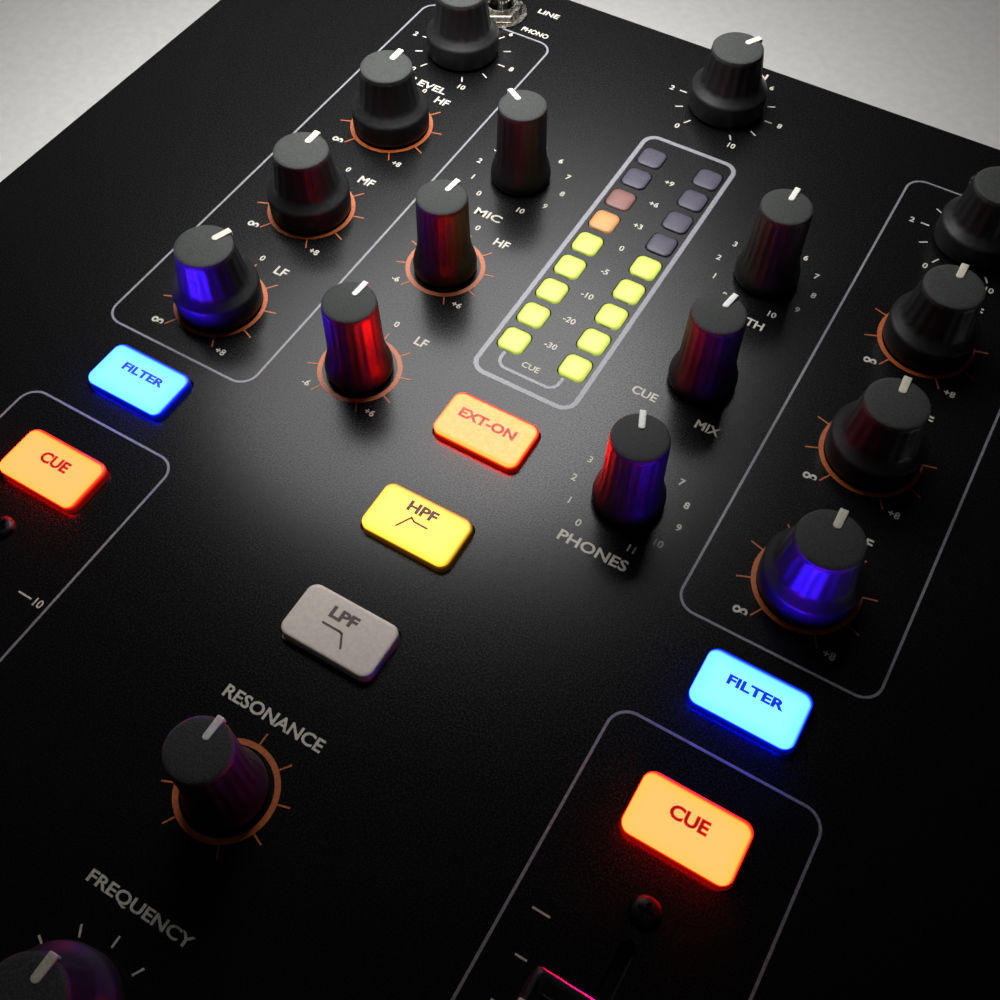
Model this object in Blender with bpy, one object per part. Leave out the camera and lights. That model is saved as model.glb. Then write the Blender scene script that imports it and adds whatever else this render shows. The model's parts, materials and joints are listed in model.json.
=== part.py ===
"""A compact two-channel DJ mixer, as the separate pieces it comes apart into on a bench.

+X runs to the right of the top panel, +Y to its rear edge, +Z up. The origin is on the floor,
under the middle of the whole mixer, and the high-pass button sits straight above it.
"""

import math

import bmesh
import bpy

MM = 0.001

# ---- driving dimensions -------------------------------------------------------------------

WIDTH = 226 * MM
CASE_DEPTH = 276 * MM
TERMINALS_PROUD = 9 * MM
PANEL_TOP = 70 * MM
FOOT_HEIGHT = 6 * MM
SHEET = 1.5 * MM
GAP = 0.3 * MM
LID_LIP = 12 * MM

FRONT_Y = -(CASE_DEPTH + TERMINALS_PROUD) / 2
REAR_Y = FRONT_Y + CASE_DEPTH
PANEL_UNDER = PANEL_TOP - SHEET

# where the controls stand on the panel
CHANNEL_X = 56 * MM
SMALL_X = 25.8 * MM
ROW_LF = 21.7 * MM
ROW_PITCH = 27.8 * MM
BUTTON_PITCH = 21 * MM
RESONANCE_Y = -48 * MM
FREQUENCY_Y = -80 * MM
TOGGLE_Y = 121 * MM
TOGGLE_PIVOT = 3.5 * MM
TOGGLE_TILT = math.radians(12)

# lit push buttons
BUTTON_SIZE = (16 * MM, 9.4 * MM)
BUTTON_CORNER = 1.5 * MM
BUTTON_PROUD = 1.6 * MM

# rotary controls
KNOB_SIDES = 16
SHAFT_RADIUS = 3 * MM
SHAFT_BELOW = 11.5 * MM
KNOB_LIFT = 0.5 * MM
POT_HOLE = 7.2 * MM
SMALL_KNOB = [(5.8, 0.5), (5.85, 1.6), (4.95, 6.2), (4.55, 15.9), (4.1, 16.6)]
LARGE_KNOB = [(7.6, 0.5), (7.7, 5.0), (6.1, 6.5), (5.15, 13.0), (4.7, 13.6)]
SMALL_TOP = 16.9
LARGE_TOP = 13.9

# faders
CHANNEL_FADER_Y = -70 * MM
CHANNEL_TRAVEL = 60 * MM
CROSSFADER_Y = -125 * MM
CROSSFADER_TRAVEL = 45 * MM
CHANNEL_REST = 18 * MM
SLOT_WIDTH = 2.2 * MM
LEVER_THICK = 1.2 * MM
LEVER_LONG = 4 * MM
CAP_ACROSS = 18 * MM
CAP_ALONG = 9.6 * MM
FADER_BOX = (12 * MM, 9.5 * MM)

# level meter
METER_COLUMN_X = 6.04 * MM
METER_FIRST_Y = 40.7 * MM
METER_PITCH = 6.81 * MM
METER_ROWS = 9
LED_SIZE = (4.9 * MM, 5.1 * MM)
LED_CORNER = 1.3 * MM
LED_GAP = 0.2 * MM

# boards
BOARD_THICK = 1.6 * MM
CONTROL_BOARD_TOP = PANEL_TOP - 14.4 * MM
LOWER_BOARD_Z = 14 * MM

# rear connectors, from the right-hand end of the panel to the left
INLET_X = 88 * MM
INLET_Z = 26.5 * MM
SWITCH_Z = 47 * MM
ROCKER_TILT = math.radians(8)
MAIN_OUT_X = (57 * MM, 28 * MM)
BOOTH_X = 5 * MM
MIC_X = -17 * MM
REC_X = -37 * MM
DECK_X = (-62 * MM, -91 * MM)
XLR_Z = 36 * MM
LOW_ROW_Z = 25 * MM
HIGH_ROW_Z = 46 * MM
GROUND_X = -46 * MM
GROUND_Z = 35.5 * MM
PHONES_X = (-86 * MM, -66 * MM)
PHONES_Z = 38 * MM


# ---- shapes -------------------------------------------------------------------------------


def clear_scene():
    for old in list(bpy.data.objects):
        bpy.data.objects.remove(old, do_unlink=True)


def material(name, colour, roughness, metallic=0.0):
    made = bpy.data.materials.get(name)
    if made is None:
        made = bpy.data.materials.new(name)
        made.use_nodes = True
        shader = made.node_tree.nodes["Principled BSDF"]
        shader.inputs["Base Color"].default_value = (*colour, 1)
        shader.inputs["Roughness"].default_value = roughness
        shader.inputs["Metallic"].default_value = metallic
    return made


def rounded_rectangle(width, depth, corner, steps=2):
    """Points of a rectangle with round corners, anticlockwise, centred on nothing."""
    points = []
    for turn, (sx, sy) in enumerate([(1, 1), (-1, 1), (-1, -1), (1, -1)]):
        for step in range(steps + 1):
            angle = math.pi / 2 * (turn + step / steps)
            x = sx * (width / 2 - corner) + corner * math.cos(angle)
            y = sy * (depth / 2 - corner) + corner * math.sin(angle)
            points.append((x, y))
    return points


def circle(radius, sides):
    return [
        (radius * math.cos(math.tau * i / sides), radius * math.sin(math.tau * i / sides))
        for i in range(sides)
    ]


def loft(bm, rings):
    """A closed solid through rings of points: each ring is an outline and its height."""
    rows = [[bm.verts.new((x, y, z)) for x, y in outline] for outline, z in rings]
    count = len(rows[0])
    for low, high in zip(rows, rows[1:]):
        for i in range(count):
            j = (i + 1) % count
            bm.faces.new((low[i], low[j], high[j], high[i]))
    bm.faces.new(list(reversed(rows[0])))
    bm.faces.new(rows[-1])


def add_prism(bm, outline, low, high, centre=(0, 0)):
    moved = [(x + centre[0], y + centre[1]) for x, y in outline]
    loft(bm, [(moved, low), (moved, high)])


def add_box(bm, low, high):
    outline = [(high[0], high[1]), (low[0], high[1]), (low[0], low[1]), (high[0], low[1])]
    loft(bm, [(outline, low[2]), (outline, high[2])])


def place_object(name, bm, finish=None, location=(0, 0, 0), rotation=(0, 0, 0)):
    mesh = bpy.data.meshes.new(name)
    bm.to_mesh(mesh)
    bm.free()
    return place_mesh(name, mesh, finish, location, rotation)


def place_mesh(name, mesh, finish=None, location=(0, 0, 0), rotation=(0, 0, 0)):
    made = bpy.data.objects.new(name, mesh)
    bpy.context.scene.collection.objects.link(made)
    made.location = location
    made.rotation_euler = rotation
    if finish is not None and not mesh.materials:
        mesh.materials.append(finish)
    return made


def smooth(piece, angle=35):
    piece.data.shade_smooth()
    piece.data.set_sharp_from_angle(angle=math.radians(angle))


def boolean(piece, bm, operation):
    """Cut or join piece with the shape in bm, which stays in the scene as a hidden guide."""
    guide = place_object(f"guide_{piece.name}_{len(piece.modifiers)}", bm)
    guide.hide_render = True
    guide.display_type = "WIRE"
    guide.matrix_world = piece.matrix_basis.copy()
    modifier = piece.modifiers.new(operation.lower(), "BOOLEAN")
    modifier.operation = operation
    modifier.solver = "EXACT"
    modifier.object = guide


def facing_rear(x, y, z):
    """Location and rotation that turn a piece's +Z to the rear (+Y) and its +Y up."""
    return (x, y, z), (math.pi / 2, 0, math.pi)


def facing_front(x, y, z):
    """Location and rotation that turn a piece's +Z to the front (-Y) and its +Y up."""
    return (x, y, z), (math.pi / 2, 0, 0)


# ---- where each control is ----------------------------------------------------------------


def row(number):
    return ROW_LF + number * ROW_PITCH


# name: x, y, kind, pointer's resting angle in degrees clockwise from straight ahead
KNOBS = {
    "knob_left_level": (-CHANNEL_X, row(3), "large", 60),
    "knob_left_hf": (-CHANNEL_X, row(2), "large", 0),
    "knob_left_mf": (-CHANNEL_X, row(1), "large", 0),
    "knob_left_lf": (-CHANNEL_X, row(0), "large", 20),
    "knob_right_level": (CHANNEL_X, row(3), "large", 60),
    "knob_right_hf": (CHANNEL_X, row(2), "large", 0),
    "knob_right_mf": (CHANNEL_X, row(1), "large", -3),
    "knob_right_lf": (CHANNEL_X, row(0), "large", -1),
    "knob_mic_level": (-SMALL_X, row(2), "small", -60),
    "knob_mic_hf": (-SMALL_X, row(1), "small", 5),
    "knob_mic_lf": (-SMALL_X, row(0), "small", 2),
    "knob_booth": (SMALL_X, row(2), "small", 0),
    "knob_cue_mix": (SMALL_X, row(1), "small", 9),
    "knob_phones": (SMALL_X, row(0), "small", -22),
    "knob_main_level": (0, row(3) + 12 * MM, "large", 30),
    "knob_resonance": (0, RESONANCE_Y, "small", 0),
    "knob_frequency": (0, FREQUENCY_Y, "large", 0),
}

# name: x, y
BUTTONS = {
    "button_ext_on": (0, BUTTON_PITCH),
    "button_hpf": (0, 0),
    "button_lpf": (0, -BUTTON_PITCH),
    "button_left_filter": (-CHANNEL_X, 0),
    "button_right_filter": (CHANNEL_X, 0),
    "button_left_cue": (-CHANNEL_X, -BUTTON_PITCH),
    "button_right_cue": (CHANNEL_X, -BUTTON_PITCH),
}

# name: slot's centre x and y, travel, rest distance from the centre, quarter turns
FADERS = {
    "left_fader": (-CHANNEL_X, CHANNEL_FADER_Y, CHANNEL_TRAVEL, CHANNEL_REST, 0),
    "right_fader": (CHANNEL_X, CHANNEL_FADER_Y, CHANNEL_TRAVEL, CHANNEL_REST, 0),
    "crossfader": (0, CROSSFADER_Y, CROSSFADER_TRAVEL, 0, 1),
}


def led_places(x):
    return [(x, METER_FIRST_Y + i * METER_PITCH) for i in range(METER_ROWS)]


# ---- casing -------------------------------------------------------------------------------


def make_top_cover(finish):
    """Folded and pierced steel lid: the control panel, with a lip down all round."""
    bm = bmesh.new()
    middle = (FRONT_Y + REAR_Y) / 2
    outer = rounded_rectangle(WIDTH, CASE_DEPTH, 2.4 * MM, 3)
    top_edge = rounded_rectangle(WIDTH - 1.2 * MM, CASE_DEPTH - 1.2 * MM, 1.8 * MM, 3)
    rings = [
        ([(x, y + middle) for x, y in outer], PANEL_TOP - LID_LIP),
        ([(x, y + middle) for x, y in outer], PANEL_TOP - 0.6 * MM),
        ([(x, y + middle) for x, y in top_edge], PANEL_TOP),
    ]
    loft(bm, rings)
    cover = place_object("top_cover", bm, finish)

    hollow = bmesh.new()
    inner = rounded_rectangle(WIDTH - 2 * SHEET, CASE_DEPTH - 2 * SHEET, 0.9 * MM)
    add_prism(hollow, inner, PANEL_TOP - 2 * LID_LIP, PANEL_UNDER, (0, middle))
    boolean(cover, hollow, "DIFFERENCE")

    holes = bmesh.new()
    low, high = PANEL_UNDER - 3 * MM, PANEL_TOP + 3 * MM
    for x, y, _, _ in KNOBS.values():
        add_prism(holes, circle(POT_HOLE / 2, 8), low, high, (x, y))
    for x, y in BUTTONS.values():
        size = [side + 2 * GAP for side in BUTTON_SIZE]
        add_prism(holes, rounded_rectangle(*size, BUTTON_CORNER + GAP, 4), low, high, (x, y))
    for x, y, travel, _, turned in FADERS.values():
        size = (SLOT_WIDTH, travel + LEVER_LONG + 2 * MM)
        if turned:
            size = size[::-1]
        add_prism(holes, rounded_rectangle(*size, 1 * MM, 1), low, high, (x, y))
    for side in (-1, 1):
        add_prism(holes, circle(4 * MM, 12), low, high, (side * CHANNEL_X, TOGGLE_Y))
        for place in led_places(side * METER_COLUMN_X):
            size = [length + 2 * LED_GAP for length in LED_SIZE]
            add_prism(holes, rounded_rectangle(*size, LED_CORNER, 3), low, high, place)
    boolean(cover, holes, "DIFFERENCE")
    smooth(cover)
    return cover


def make_base_tray(finish):
    """Bent steel tray: the floor and both side walls, with vent slots and board pillars."""
    inset = SHEET + GAP
    low_x, high_x = -WIDTH / 2 + inset, WIDTH / 2 - inset
    low_y, high_y = FRONT_Y + inset, REAR_Y - inset
    bm = bmesh.new()
    floor, wall_top = FOOT_HEIGHT, PANEL_UNDER - GAP
    outline = [
        (high_x, floor),
        (high_x, wall_top),
        (high_x - SHEET, wall_top),
        (high_x - SHEET, floor + SHEET),
        (low_x + SHEET, floor + SHEET),
        (low_x + SHEET, wall_top),
        (low_x, wall_top),
        (low_x, floor),
    ]
    ends = []
    for y in (high_y, low_y):
        ends.append([bm.verts.new((x, y, z)) for x, z in outline])
    for i in range(len(outline)):
        j = (i + 1) % len(outline)
        bm.faces.new((ends[0][i], ends[0][j], ends[1][j], ends[1][i]))
    bm.faces.new(ends[0][::-1])
    bm.faces.new(ends[1])
    bmesh.ops.recalc_face_normals(bm, faces=bm.faces)
    tray = place_object("base_tray", bm, finish)

    pillars = bmesh.new()
    for x, y in pillar_places():
        bottom, top = floor + 0.5 * MM, LOWER_BOARD_Z - GAP
        add_prism(pillars, circle(3 * MM, 8), bottom, top, (x, y))
    boolean(tray, pillars, "UNION")

    slots = bmesh.new()
    for i in range(8):
        y = REAR_Y - 40 * MM - i * 8 * MM
        low = (-WIDTH, y - 1.5 * MM, 22 * MM)
        add_box(slots, low, (WIDTH, y + 1.5 * MM, 44 * MM))
    boolean(tray, slots, "DIFFERENCE")
    return tray


def pillar_places():
    supply = [(x, y) for x in (30 * MM, 98 * MM) for y in (0, 88 * MM)]
    audio = [(x, y) for x in (-98 * MM, 4 * MM) for y in (10 * MM, 88 * MM)]
    return supply + audio


def end_plate(name, y, finish, openings):
    """A flat plate that closes the front or rear of the tray, with its holes."""
    half = WIDTH / 2 - 2 * SHEET - 2 * GAP
    bm = bmesh.new()
    low, high = FOOT_HEIGHT + SHEET + GAP, PANEL_UNDER - GAP
    add_box(bm, (-half, y, low), (half, y + SHEET, high))
    plate = place_object(name, bm, finish)
    holes = bmesh.new()
    for outline, x, z in openings:
        moved = [(px + x, pz + z) for px, pz in outline]
        rows = []
        for depth in (y + SHEET + 3 * MM, y - 3 * MM):
            rows.append([holes.verts.new((px, depth, pz)) for px, pz in moved])
        for i in range(len(moved)):
            j = (i + 1) % len(moved)
            holes.faces.new((rows[0][i], rows[0][j], rows[1][j], rows[1][i]))
        holes.faces.new(rows[0][::-1])
        holes.faces.new(rows[1])
    bmesh.ops.recalc_face_normals(holes, faces=holes.faces)
    boolean(plate, holes, "DIFFERENCE")
    return plate


REAR_PLATE_Y = REAR_Y - 2 * SHEET - GAP
REAR_FACE_Y = REAR_PLATE_Y + SHEET
FRONT_PLATE_Y = FRONT_Y + SHEET + GAP


def make_rear_panel(finish):
    jack, cup, post = circle(6.3 * MM, 12), circle(11.5 * MM, 16), circle(2.6 * MM, 8)
    openings = [
        (rounded_rectangle(27.6 * MM, 20 * MM, 1 * MM, 1), INLET_X, INLET_Z),
        (rounded_rectangle(19.6 * MM, 13.6 * MM, 1 * MM, 1), INLET_X, SWITCH_Z),
        (cup, MAIN_OUT_X[0], XLR_Z),
        (cup, MAIN_OUT_X[1], XLR_Z),
        (cup, MIC_X, XLR_Z),
        (jack, BOOTH_X, LOW_ROW_Z),
        (jack, BOOTH_X, HIGH_ROW_Z),
        (post, GROUND_X, GROUND_Z),
    ]
    for x, columns in ((REC_X, 1), (DECK_X[0], 2), (DECK_X[1], 2)):
        for dx in rca_columns(columns):
            for z in (LOW_ROW_Z, HIGH_ROW_Z):
                openings.append((circle(4.7 * MM, 10), x + dx, z))
    return end_plate("rear_panel", REAR_PLATE_Y, finish, openings)


def make_front_panel(finish):
    openings = [
        (circle(6.3 * MM, 12), PHONES_X[0], PHONES_Z),
        (circle(4.3 * MM, 12), PHONES_X[1], PHONES_Z),
    ]
    return end_plate("front_panel", FRONT_PLATE_Y, finish, openings)


def make_feet(finish):
    rings = [
        (circle(9.2 * MM, 20), 0),
        (circle(10.4 * MM, 20), 1.2 * MM),
        (circle(11 * MM, 20), FOOT_HEIGHT - GAP),
    ]
    bm = bmesh.new()
    loft(bm, rings)
    mesh = bpy.data.meshes.new("foot")
    bm.to_mesh(mesh)
    bm.free()
    for end, y in (("front", -118 * MM), ("rear", 109 * MM)):
        for side, x in (("left", -92 * MM), ("right", 92 * MM)):
            smooth(place_mesh(f"foot_{end}_{side}", mesh, finish, (x, y, 0)))


# ---- boards and fader tracks under the panel ----------------------------------------------


def make_control_board(finish):
    """The board under the panel, with the bodies of its pots, buttons and toggles."""
    board_low = CONTROL_BOARD_TOP - BOARD_THICK
    bm = bmesh.new()
    outline = rounded_rectangle(208 * MM, 258 * MM, 3 * MM, 1)
    add_prism(bm, outline, board_low, CONTROL_BOARD_TOP, (0, -6 * MM))
    board = place_object("control_board", bm, finish)
    bodies = bmesh.new()
    sunk = CONTROL_BOARD_TOP - 0.2 * MM
    for x, y, _, _ in KNOBS.values():
        size = (5 * MM, 5.5 * MM)
        low = (x - size[0], y - size[1], sunk)
        add_box(bodies, low, (x + size[0], y + size[1], PANEL_TOP - 8 * MM))
    for x, y in BUTTONS.values():
        top = PANEL_TOP - 9.6 * MM
        add_box(bodies, (x - 3 * MM, y - 3 * MM, sunk), (x + 3 * MM, y + 3 * MM, top))
    for x in (-CHANNEL_X, CHANNEL_X):
        low = (x - 4 * MM, TOGGLE_Y - 5 * MM, sunk)
        add_box(bodies, low, (x + 4 * MM, TOGGLE_Y + 5 * MM, PANEL_TOP - 10.2 * MM))
    boolean(board, bodies, "UNION")
    bores = bmesh.new()
    for x, y, _, _ in KNOBS.values():
        bottom = PANEL_TOP - SHAFT_BELOW - 0.6 * MM
        add_prism(bores, circle(3.8 * MM, 6), bottom, PANEL_TOP - 6 * MM, (x, y))
    boolean(board, bores, "DIFFERENCE")
    return board


def make_fader_track(name, x, y, travel, turned, finish):
    """Open steel channel that holds a fader's resistor and guides its lever."""
    width, height = FADER_BOX
    length = travel + 26 * MM
    size = (width, length)
    pocket = (width - 2 * MM, length - 2 * MM)
    if turned:
        size, pocket = size[::-1], pocket[::-1]
    high = PANEL_UNDER - GAP
    low = high - height
    outer = rounded_rectangle(*size, 0.8 * MM, 1)
    inner = rounded_rectangle(*pocket, 0.4 * MM, 1)
    bm = bmesh.new()
    loft(bm, [(outer, low), (outer, high), (inner, high), (inner, low + 1 * MM)])
    return place_object(name, bm, finish, (x, y, 0))


def make_meter_parts(guide_finish, board_finish):
    base_low, base_high = PANEL_UNDER - 3.4 * MM, PANEL_UNDER - GAP
    for name, x in (("left", -METER_COLUMN_X), ("right", METER_COLUMN_X)):
        places = led_places(x)
        bm = bmesh.new()
        middle = (places[0][1] + places[-1][1]) / 2
        length = places[-1][1] - places[0][1] + LED_SIZE[1] + 2 * MM
        outline = rounded_rectangle(LED_SIZE[0] + 2 * MM, length, 0.5 * MM, 1)
        add_prism(bm, outline, base_low, base_high, (x, middle))
        strip = place_object(f"meter_light_guide_{name}", bm, guide_finish)
        pads = bmesh.new()
        for place in places:
            pad = rounded_rectangle(*LED_SIZE, LED_CORNER, 3)
            add_prism(pads, pad, base_low + 1 * MM, PANEL_TOP, place)
        boolean(strip, pads, "UNION")
    bm = bmesh.new()
    middle = METER_FIRST_Y + METER_PITCH * (METER_ROWS - 1) / 2
    high = base_low - 1.6 * MM
    outline = rounded_rectangle(22 * MM, 66 * MM, 1 * MM, 1)
    add_prism(bm, outline, high - BOARD_THICK, high, (0, middle))
    board = place_object("meter_board", bm, board_finish)
    lamps = bmesh.new()
    for x in (-METER_COLUMN_X, METER_COLUMN_X):
        low = (x - 1.4 * MM, middle - 29 * MM, high - 0.2 * MM)
        add_box(lamps, low, (x + 1.4 * MM, middle + 29 * MM, high + 1.2 * MM))
    boolean(board, lamps, "UNION")


def make_lower_boards(finish):
    """The power supply and the audio board, on the tray's pillars."""
    blocks = {
        "power_supply_board": [
            (44, 30, 40, 34, 30),
            (84, 30, 14, 14, 24),
            (84, 50, 14, 14, 24),
            (64, 74, 50, 8, 22),
        ],
        "audio_board": [
            (-70, 40, 14, 14, 3),
            (-40, 40, 14, 14, 3),
            (-12, 40, 10, 10, 12),
            (-55, 76, 60, 6, 9),
        ],
    }
    places = {"power_supply_board": (24, 104, -6, 94), "audio_board": (-104, 12, 4, 94)}
    for name, (x0, x1, y0, y1) in places.items():
        bm = bmesh.new()
        top = LOWER_BOARD_Z + BOARD_THICK
        add_box(bm, (x0 * MM, y0 * MM, LOWER_BOARD_Z), (x1 * MM, y1 * MM, top))
        board = place_object(name, bm, finish)
        parts = bmesh.new()
        for x, y, w, d, h in blocks[name]:
            low = ((x - w / 2) * MM, (y - d / 2) * MM, top - 0.2 * MM)
            add_box(parts, low, ((x + w / 2) * MM, (y + d / 2) * MM, top + h * MM))
        boolean(board, parts, "UNION")


# ---- controls -----------------------------------------------------------------------------


def finished_mesh(piece):
    """The mesh of piece with its modifiers applied; piece and its guides are then removed."""
    ready = piece.evaluated_get(bpy.context.evaluated_depsgraph_get())
    mesh = bpy.data.meshes.new_from_object(ready)
    guides = [modifier.object for modifier in piece.modifiers]
    for used in guides + [piece]:
        bpy.data.objects.remove(used, do_unlink=True)
    return mesh


def knob_mesh(name, profile, top, finish):
    """A knob with its shaft, and a raised pointer bar that folds over the rim at +Y."""
    bm = bmesh.new()
    shaft = circle(SHAFT_RADIUS, KNOB_SIDES)
    rings = [(shaft, -SHAFT_BELOW), (shaft, KNOB_LIFT)]
    rings += [(circle(r * MM, KNOB_SIDES), z * MM) for r, z in profile]
    rings += [(circle(profile[-1][0] * 0.45 * MM, KNOB_SIDES), top * MM)]
    loft(bm, rings)
    body = place_object(name, bm, finish)
    rim, rim_z = profile[-2][0], profile[-2][1]
    half = 0.55 * MM
    pointer = bmesh.new()
    low = (-half, 1.5 * MM, (rim_z - 1.6) * MM)
    add_box(pointer, low, (half, (rim + 0.25) * MM, (top + 0.25) * MM))
    boolean(body, pointer, "UNION")
    return finished_mesh(body)


def make_knobs(finish):
    meshes = {
        "small": knob_mesh("small_knob", SMALL_KNOB, SMALL_TOP, finish),
        "large": knob_mesh("large_knob", LARGE_KNOB, LARGE_TOP, finish),
    }
    for name, (x, y, kind, clockwise) in KNOBS.items():
        turn = (0, 0, -math.radians(clockwise))
        smooth(place_mesh(name, meshes[kind], finish, (x, y, PANEL_TOP), turn))


def make_buttons(finishes):
    """Moulded light caps: a stem, a flange that stays under the panel, and the lit face."""
    width, depth = BUTTON_SIZE
    levels = [
        (4, 4, -8.6),
        (4, 4, -3.7),
        (17.4, 10.8, -3.6),
        (17.4, 10.8, -1.8),
    ]
    bm = bmesh.new()
    rings = []
    for w, d, z in levels:
        rings.append((rounded_rectangle(w * MM, d * MM, BUTTON_CORNER), z * MM))
    face = BUTTON_PROUD
    rings.append((rounded_rectangle(width, depth, BUTTON_CORNER), -1.75 * MM))
    rings.append((rounded_rectangle(width, depth, BUTTON_CORNER), face - 0.5 * MM))
    smaller = (width - 0.7 * MM, depth - 0.7 * MM)
    rings.append((rounded_rectangle(*smaller, BUTTON_CORNER - 0.3 * MM), face))
    loft(bm, rings)
    mesh = bpy.data.meshes.new("button")
    bm.to_mesh(mesh)
    bm.free()
    for name, (x, y) in BUTTONS.items():
        smooth(place_mesh(name, mesh.copy(), finishes[name], (x, y, PANEL_TOP)))


def make_fader_caps(finish):
    """Finger caps with a dished top, each on the flat lever that runs in its slot."""
    across, along = CAP_ACROSS, CAP_ALONG
    levels = [
        (LEVER_THICK, LEVER_LONG, 0.3, -6.5),
        (LEVER_THICK, LEVER_LONG, 0.3, 2.4),
        (across, along, 1, 2.5),
        (across, along, 1, 4),
        (across - 1 * MM, along - 1.6 * MM, 1, 8),
        (across - 1 * MM, along - 1.6 * MM, 1, 10.4),
        (across - 1.2 * MM, along - 0.6 * MM, 1, 13.5),
        (across - 3 * MM, along - 2.4 * MM, 1, 13.8),
        (across - 4 * MM, along - 6 * MM, 0.6, 12.9),
    ]
    bm = bmesh.new()
    rings = []
    for w, d, corner, z in levels:
        rings.append((rounded_rectangle(w, d, corner * MM, 2), z * MM))
    loft(bm, rings)
    mesh = bpy.data.meshes.new("fader_cap")
    bm.to_mesh(mesh)
    bm.free()
    for name, (x, y, _, rest, turned) in FADERS.items():
        place = (x, y + rest, PANEL_TOP)
        turn = (0, 0, turned * math.pi / 2)
        smooth(place_mesh(f"{name}_cap", mesh, finish, place, turn))


def make_toggles(finish):
    """Bat levers of the two input selectors, each pivoting on its ball under the panel."""
    profile = [(0.9, -5.5), (1.0, -2), (2.2, 0), (1.3, 1.7), (1.3, 6), (2.2, 15), (1.6, 16.2)]
    bm = bmesh.new()
    loft(bm, [(circle(r * MM, 10), z * MM) for r, z in profile])
    mesh = bpy.data.meshes.new("toggle")
    bm.to_mesh(mesh)
    bm.free()
    for name, x in (("left", -CHANNEL_X), ("right", CHANNEL_X)):
        pivot = (x, TOGGLE_Y, PANEL_TOP - TOGGLE_PIVOT)
        smooth(place_mesh(f"toggle_{name}_input", mesh, finish, pivot, (-TOGGLE_TILT, 0, 0)))


# ---- connectors ---------------------------------------------------------------------------


def make_inlet(body_finish):
    """Mains inlet: a flanged cup with three flat blades standing in it."""
    place, turn = facing_rear(INLET_X, REAR_FACE_Y + GAP, INLET_Z)
    bm = bmesh.new()
    flange = rounded_rectangle(31 * MM, 23 * MM, 3 * MM, 2)
    shell = rounded_rectangle(27 * MM, 19.4 * MM, 2 * MM, 2)
    rings = [(shell, -19 * MM), (shell, -0.05 * MM), (flange, 0), (flange, 1.8 * MM)]
    loft(bm, rings)
    inlet = place_object("power_inlet", bm, body_finish, place, turn)
    cup = bmesh.new()
    add_prism(cup, rounded_rectangle(24.4 * MM, 16.6 * MM, 3.5 * MM, 1), -15.5 * MM, 4 * MM)
    boolean(inlet, cup, "DIFFERENCE")
    blades = bmesh.new()
    for x, y in ((0, 2), (-7, -2), (7, -2)):
        low = ((x - 1) * MM, (y - 2) * MM, -16.5 * MM)
        add_box(blades, low, ((x + 1) * MM, (y + 2) * MM, -2.4 * MM))
    boolean(inlet, blades, "UNION")


def make_power_switch(bezel_finish, rocker_finish):
    place, turn = facing_rear(INLET_X, REAR_FACE_Y + GAP, SWITCH_Z)
    bm = bmesh.new()
    flange = rounded_rectangle(22.6 * MM, 16.4 * MM, 1.6 * MM, 2)
    shell = rounded_rectangle(19 * MM, 13 * MM, 0.8 * MM, 2)
    loft(bm, [(shell, -14 * MM), (shell, -0.05 * MM), (flange, 0), (flange, 2 * MM)])
    bezel = place_object("power_switch_bezel", bm, bezel_finish, place, turn)
    well = bmesh.new()
    add_prism(well, rounded_rectangle(17.4 * MM, 11 * MM, 0.5 * MM, 1), -9 * MM, 4 * MM)
    boolean(bezel, well, "DIFFERENCE")

    # the rocker's section, across the panel: a shallow V outside, a foot towards its pivot
    half, rise = 7.7 * MM, 7.7 * MM * math.tan(ROCKER_TILT)
    section = [
        (half, 1.4 * MM + rise),
        (0, 1.4 * MM),
        (-half, 1.4 * MM + rise),
        (-half, -1.6 * MM),
        (-2.5 * MM, -4.6 * MM),
        (2.5 * MM, -4.6 * MM),
        (half, -1.6 * MM),
    ]
    bm = bmesh.new()
    ends = []
    for y in (-5.1 * MM, 5.1 * MM):
        ends.append([bm.verts.new((x, y, z)) for x, z in section])
    for i in range(len(section)):
        j = (i + 1) % len(section)
        bm.faces.new((ends[0][i], ends[0][j], ends[1][j], ends[1][i]))
    bm.faces.new(ends[0][::-1])
    bm.faces.new(ends[1])
    bmesh.ops.recalc_face_normals(bm, faces=bm.faces)
    rocker = place_object("power_rocker", bm, rocker_finish, place, turn)
    rocker.rotation_euler.rotate_axis("Y", ROCKER_TILT)


def make_main_out(name, x, finish):
    """Three-pin male output: a square flange round a cup, and three pins in it."""
    place, turn = facing_rear(x, REAR_FACE_Y + GAP, XLR_Z)
    bm = bmesh.new()
    add_prism(bm, rounded_rectangle(26 * MM, 31 * MM, 2.5 * MM, 2), 0, 1.8 * MM)
    socket = place_object(name, bm, finish, place, turn)
    barrel = bmesh.new()
    add_prism(barrel, circle(11.2 * MM, 16), -22 * MM, 1 * MM)
    boolean(socket, barrel, "UNION")
    cup = bmesh.new()
    add_prism(cup, circle(9.4 * MM, 16), -15 * MM, 4 * MM)
    boolean(socket, cup, "DIFFERENCE")
    pins = bmesh.new()
    for degrees in (30, 150, 270):
        angle = math.radians(degrees)
        centre = (4 * MM * math.cos(angle), 4 * MM * math.sin(angle))
        add_prism(pins, circle(1.2 * MM, 6), -16 * MM, -2.4 * MM, centre)
    boolean(socket, pins, "UNION")


def make_jack(name, x, z, thread_radius, hole_radius, finish, facing, face_y):
    """Round jack socket: a threaded collar with its nut outside, the contact body inside."""
    place, turn = facing(x, face_y, z)
    nut = circle(thread_radius + 1.6 * MM, 12)
    thread = circle(thread_radius, 12)
    bm = bmesh.new()
    levels = [(thread, -24), (thread, -0.05), (nut, 0), (nut, 1.1), (thread, 1.15), (thread, 1.5)]
    loft(bm, [(ring, z_mm * MM) for ring, z_mm in levels])
    jack = place_object(name, bm, finish, place, turn)
    bore = bmesh.new()
    add_prism(bore, circle(hole_radius, 12), -21 * MM, 8 * MM)
    boolean(jack, bore, "DIFFERENCE")
    smooth(jack)


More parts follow.
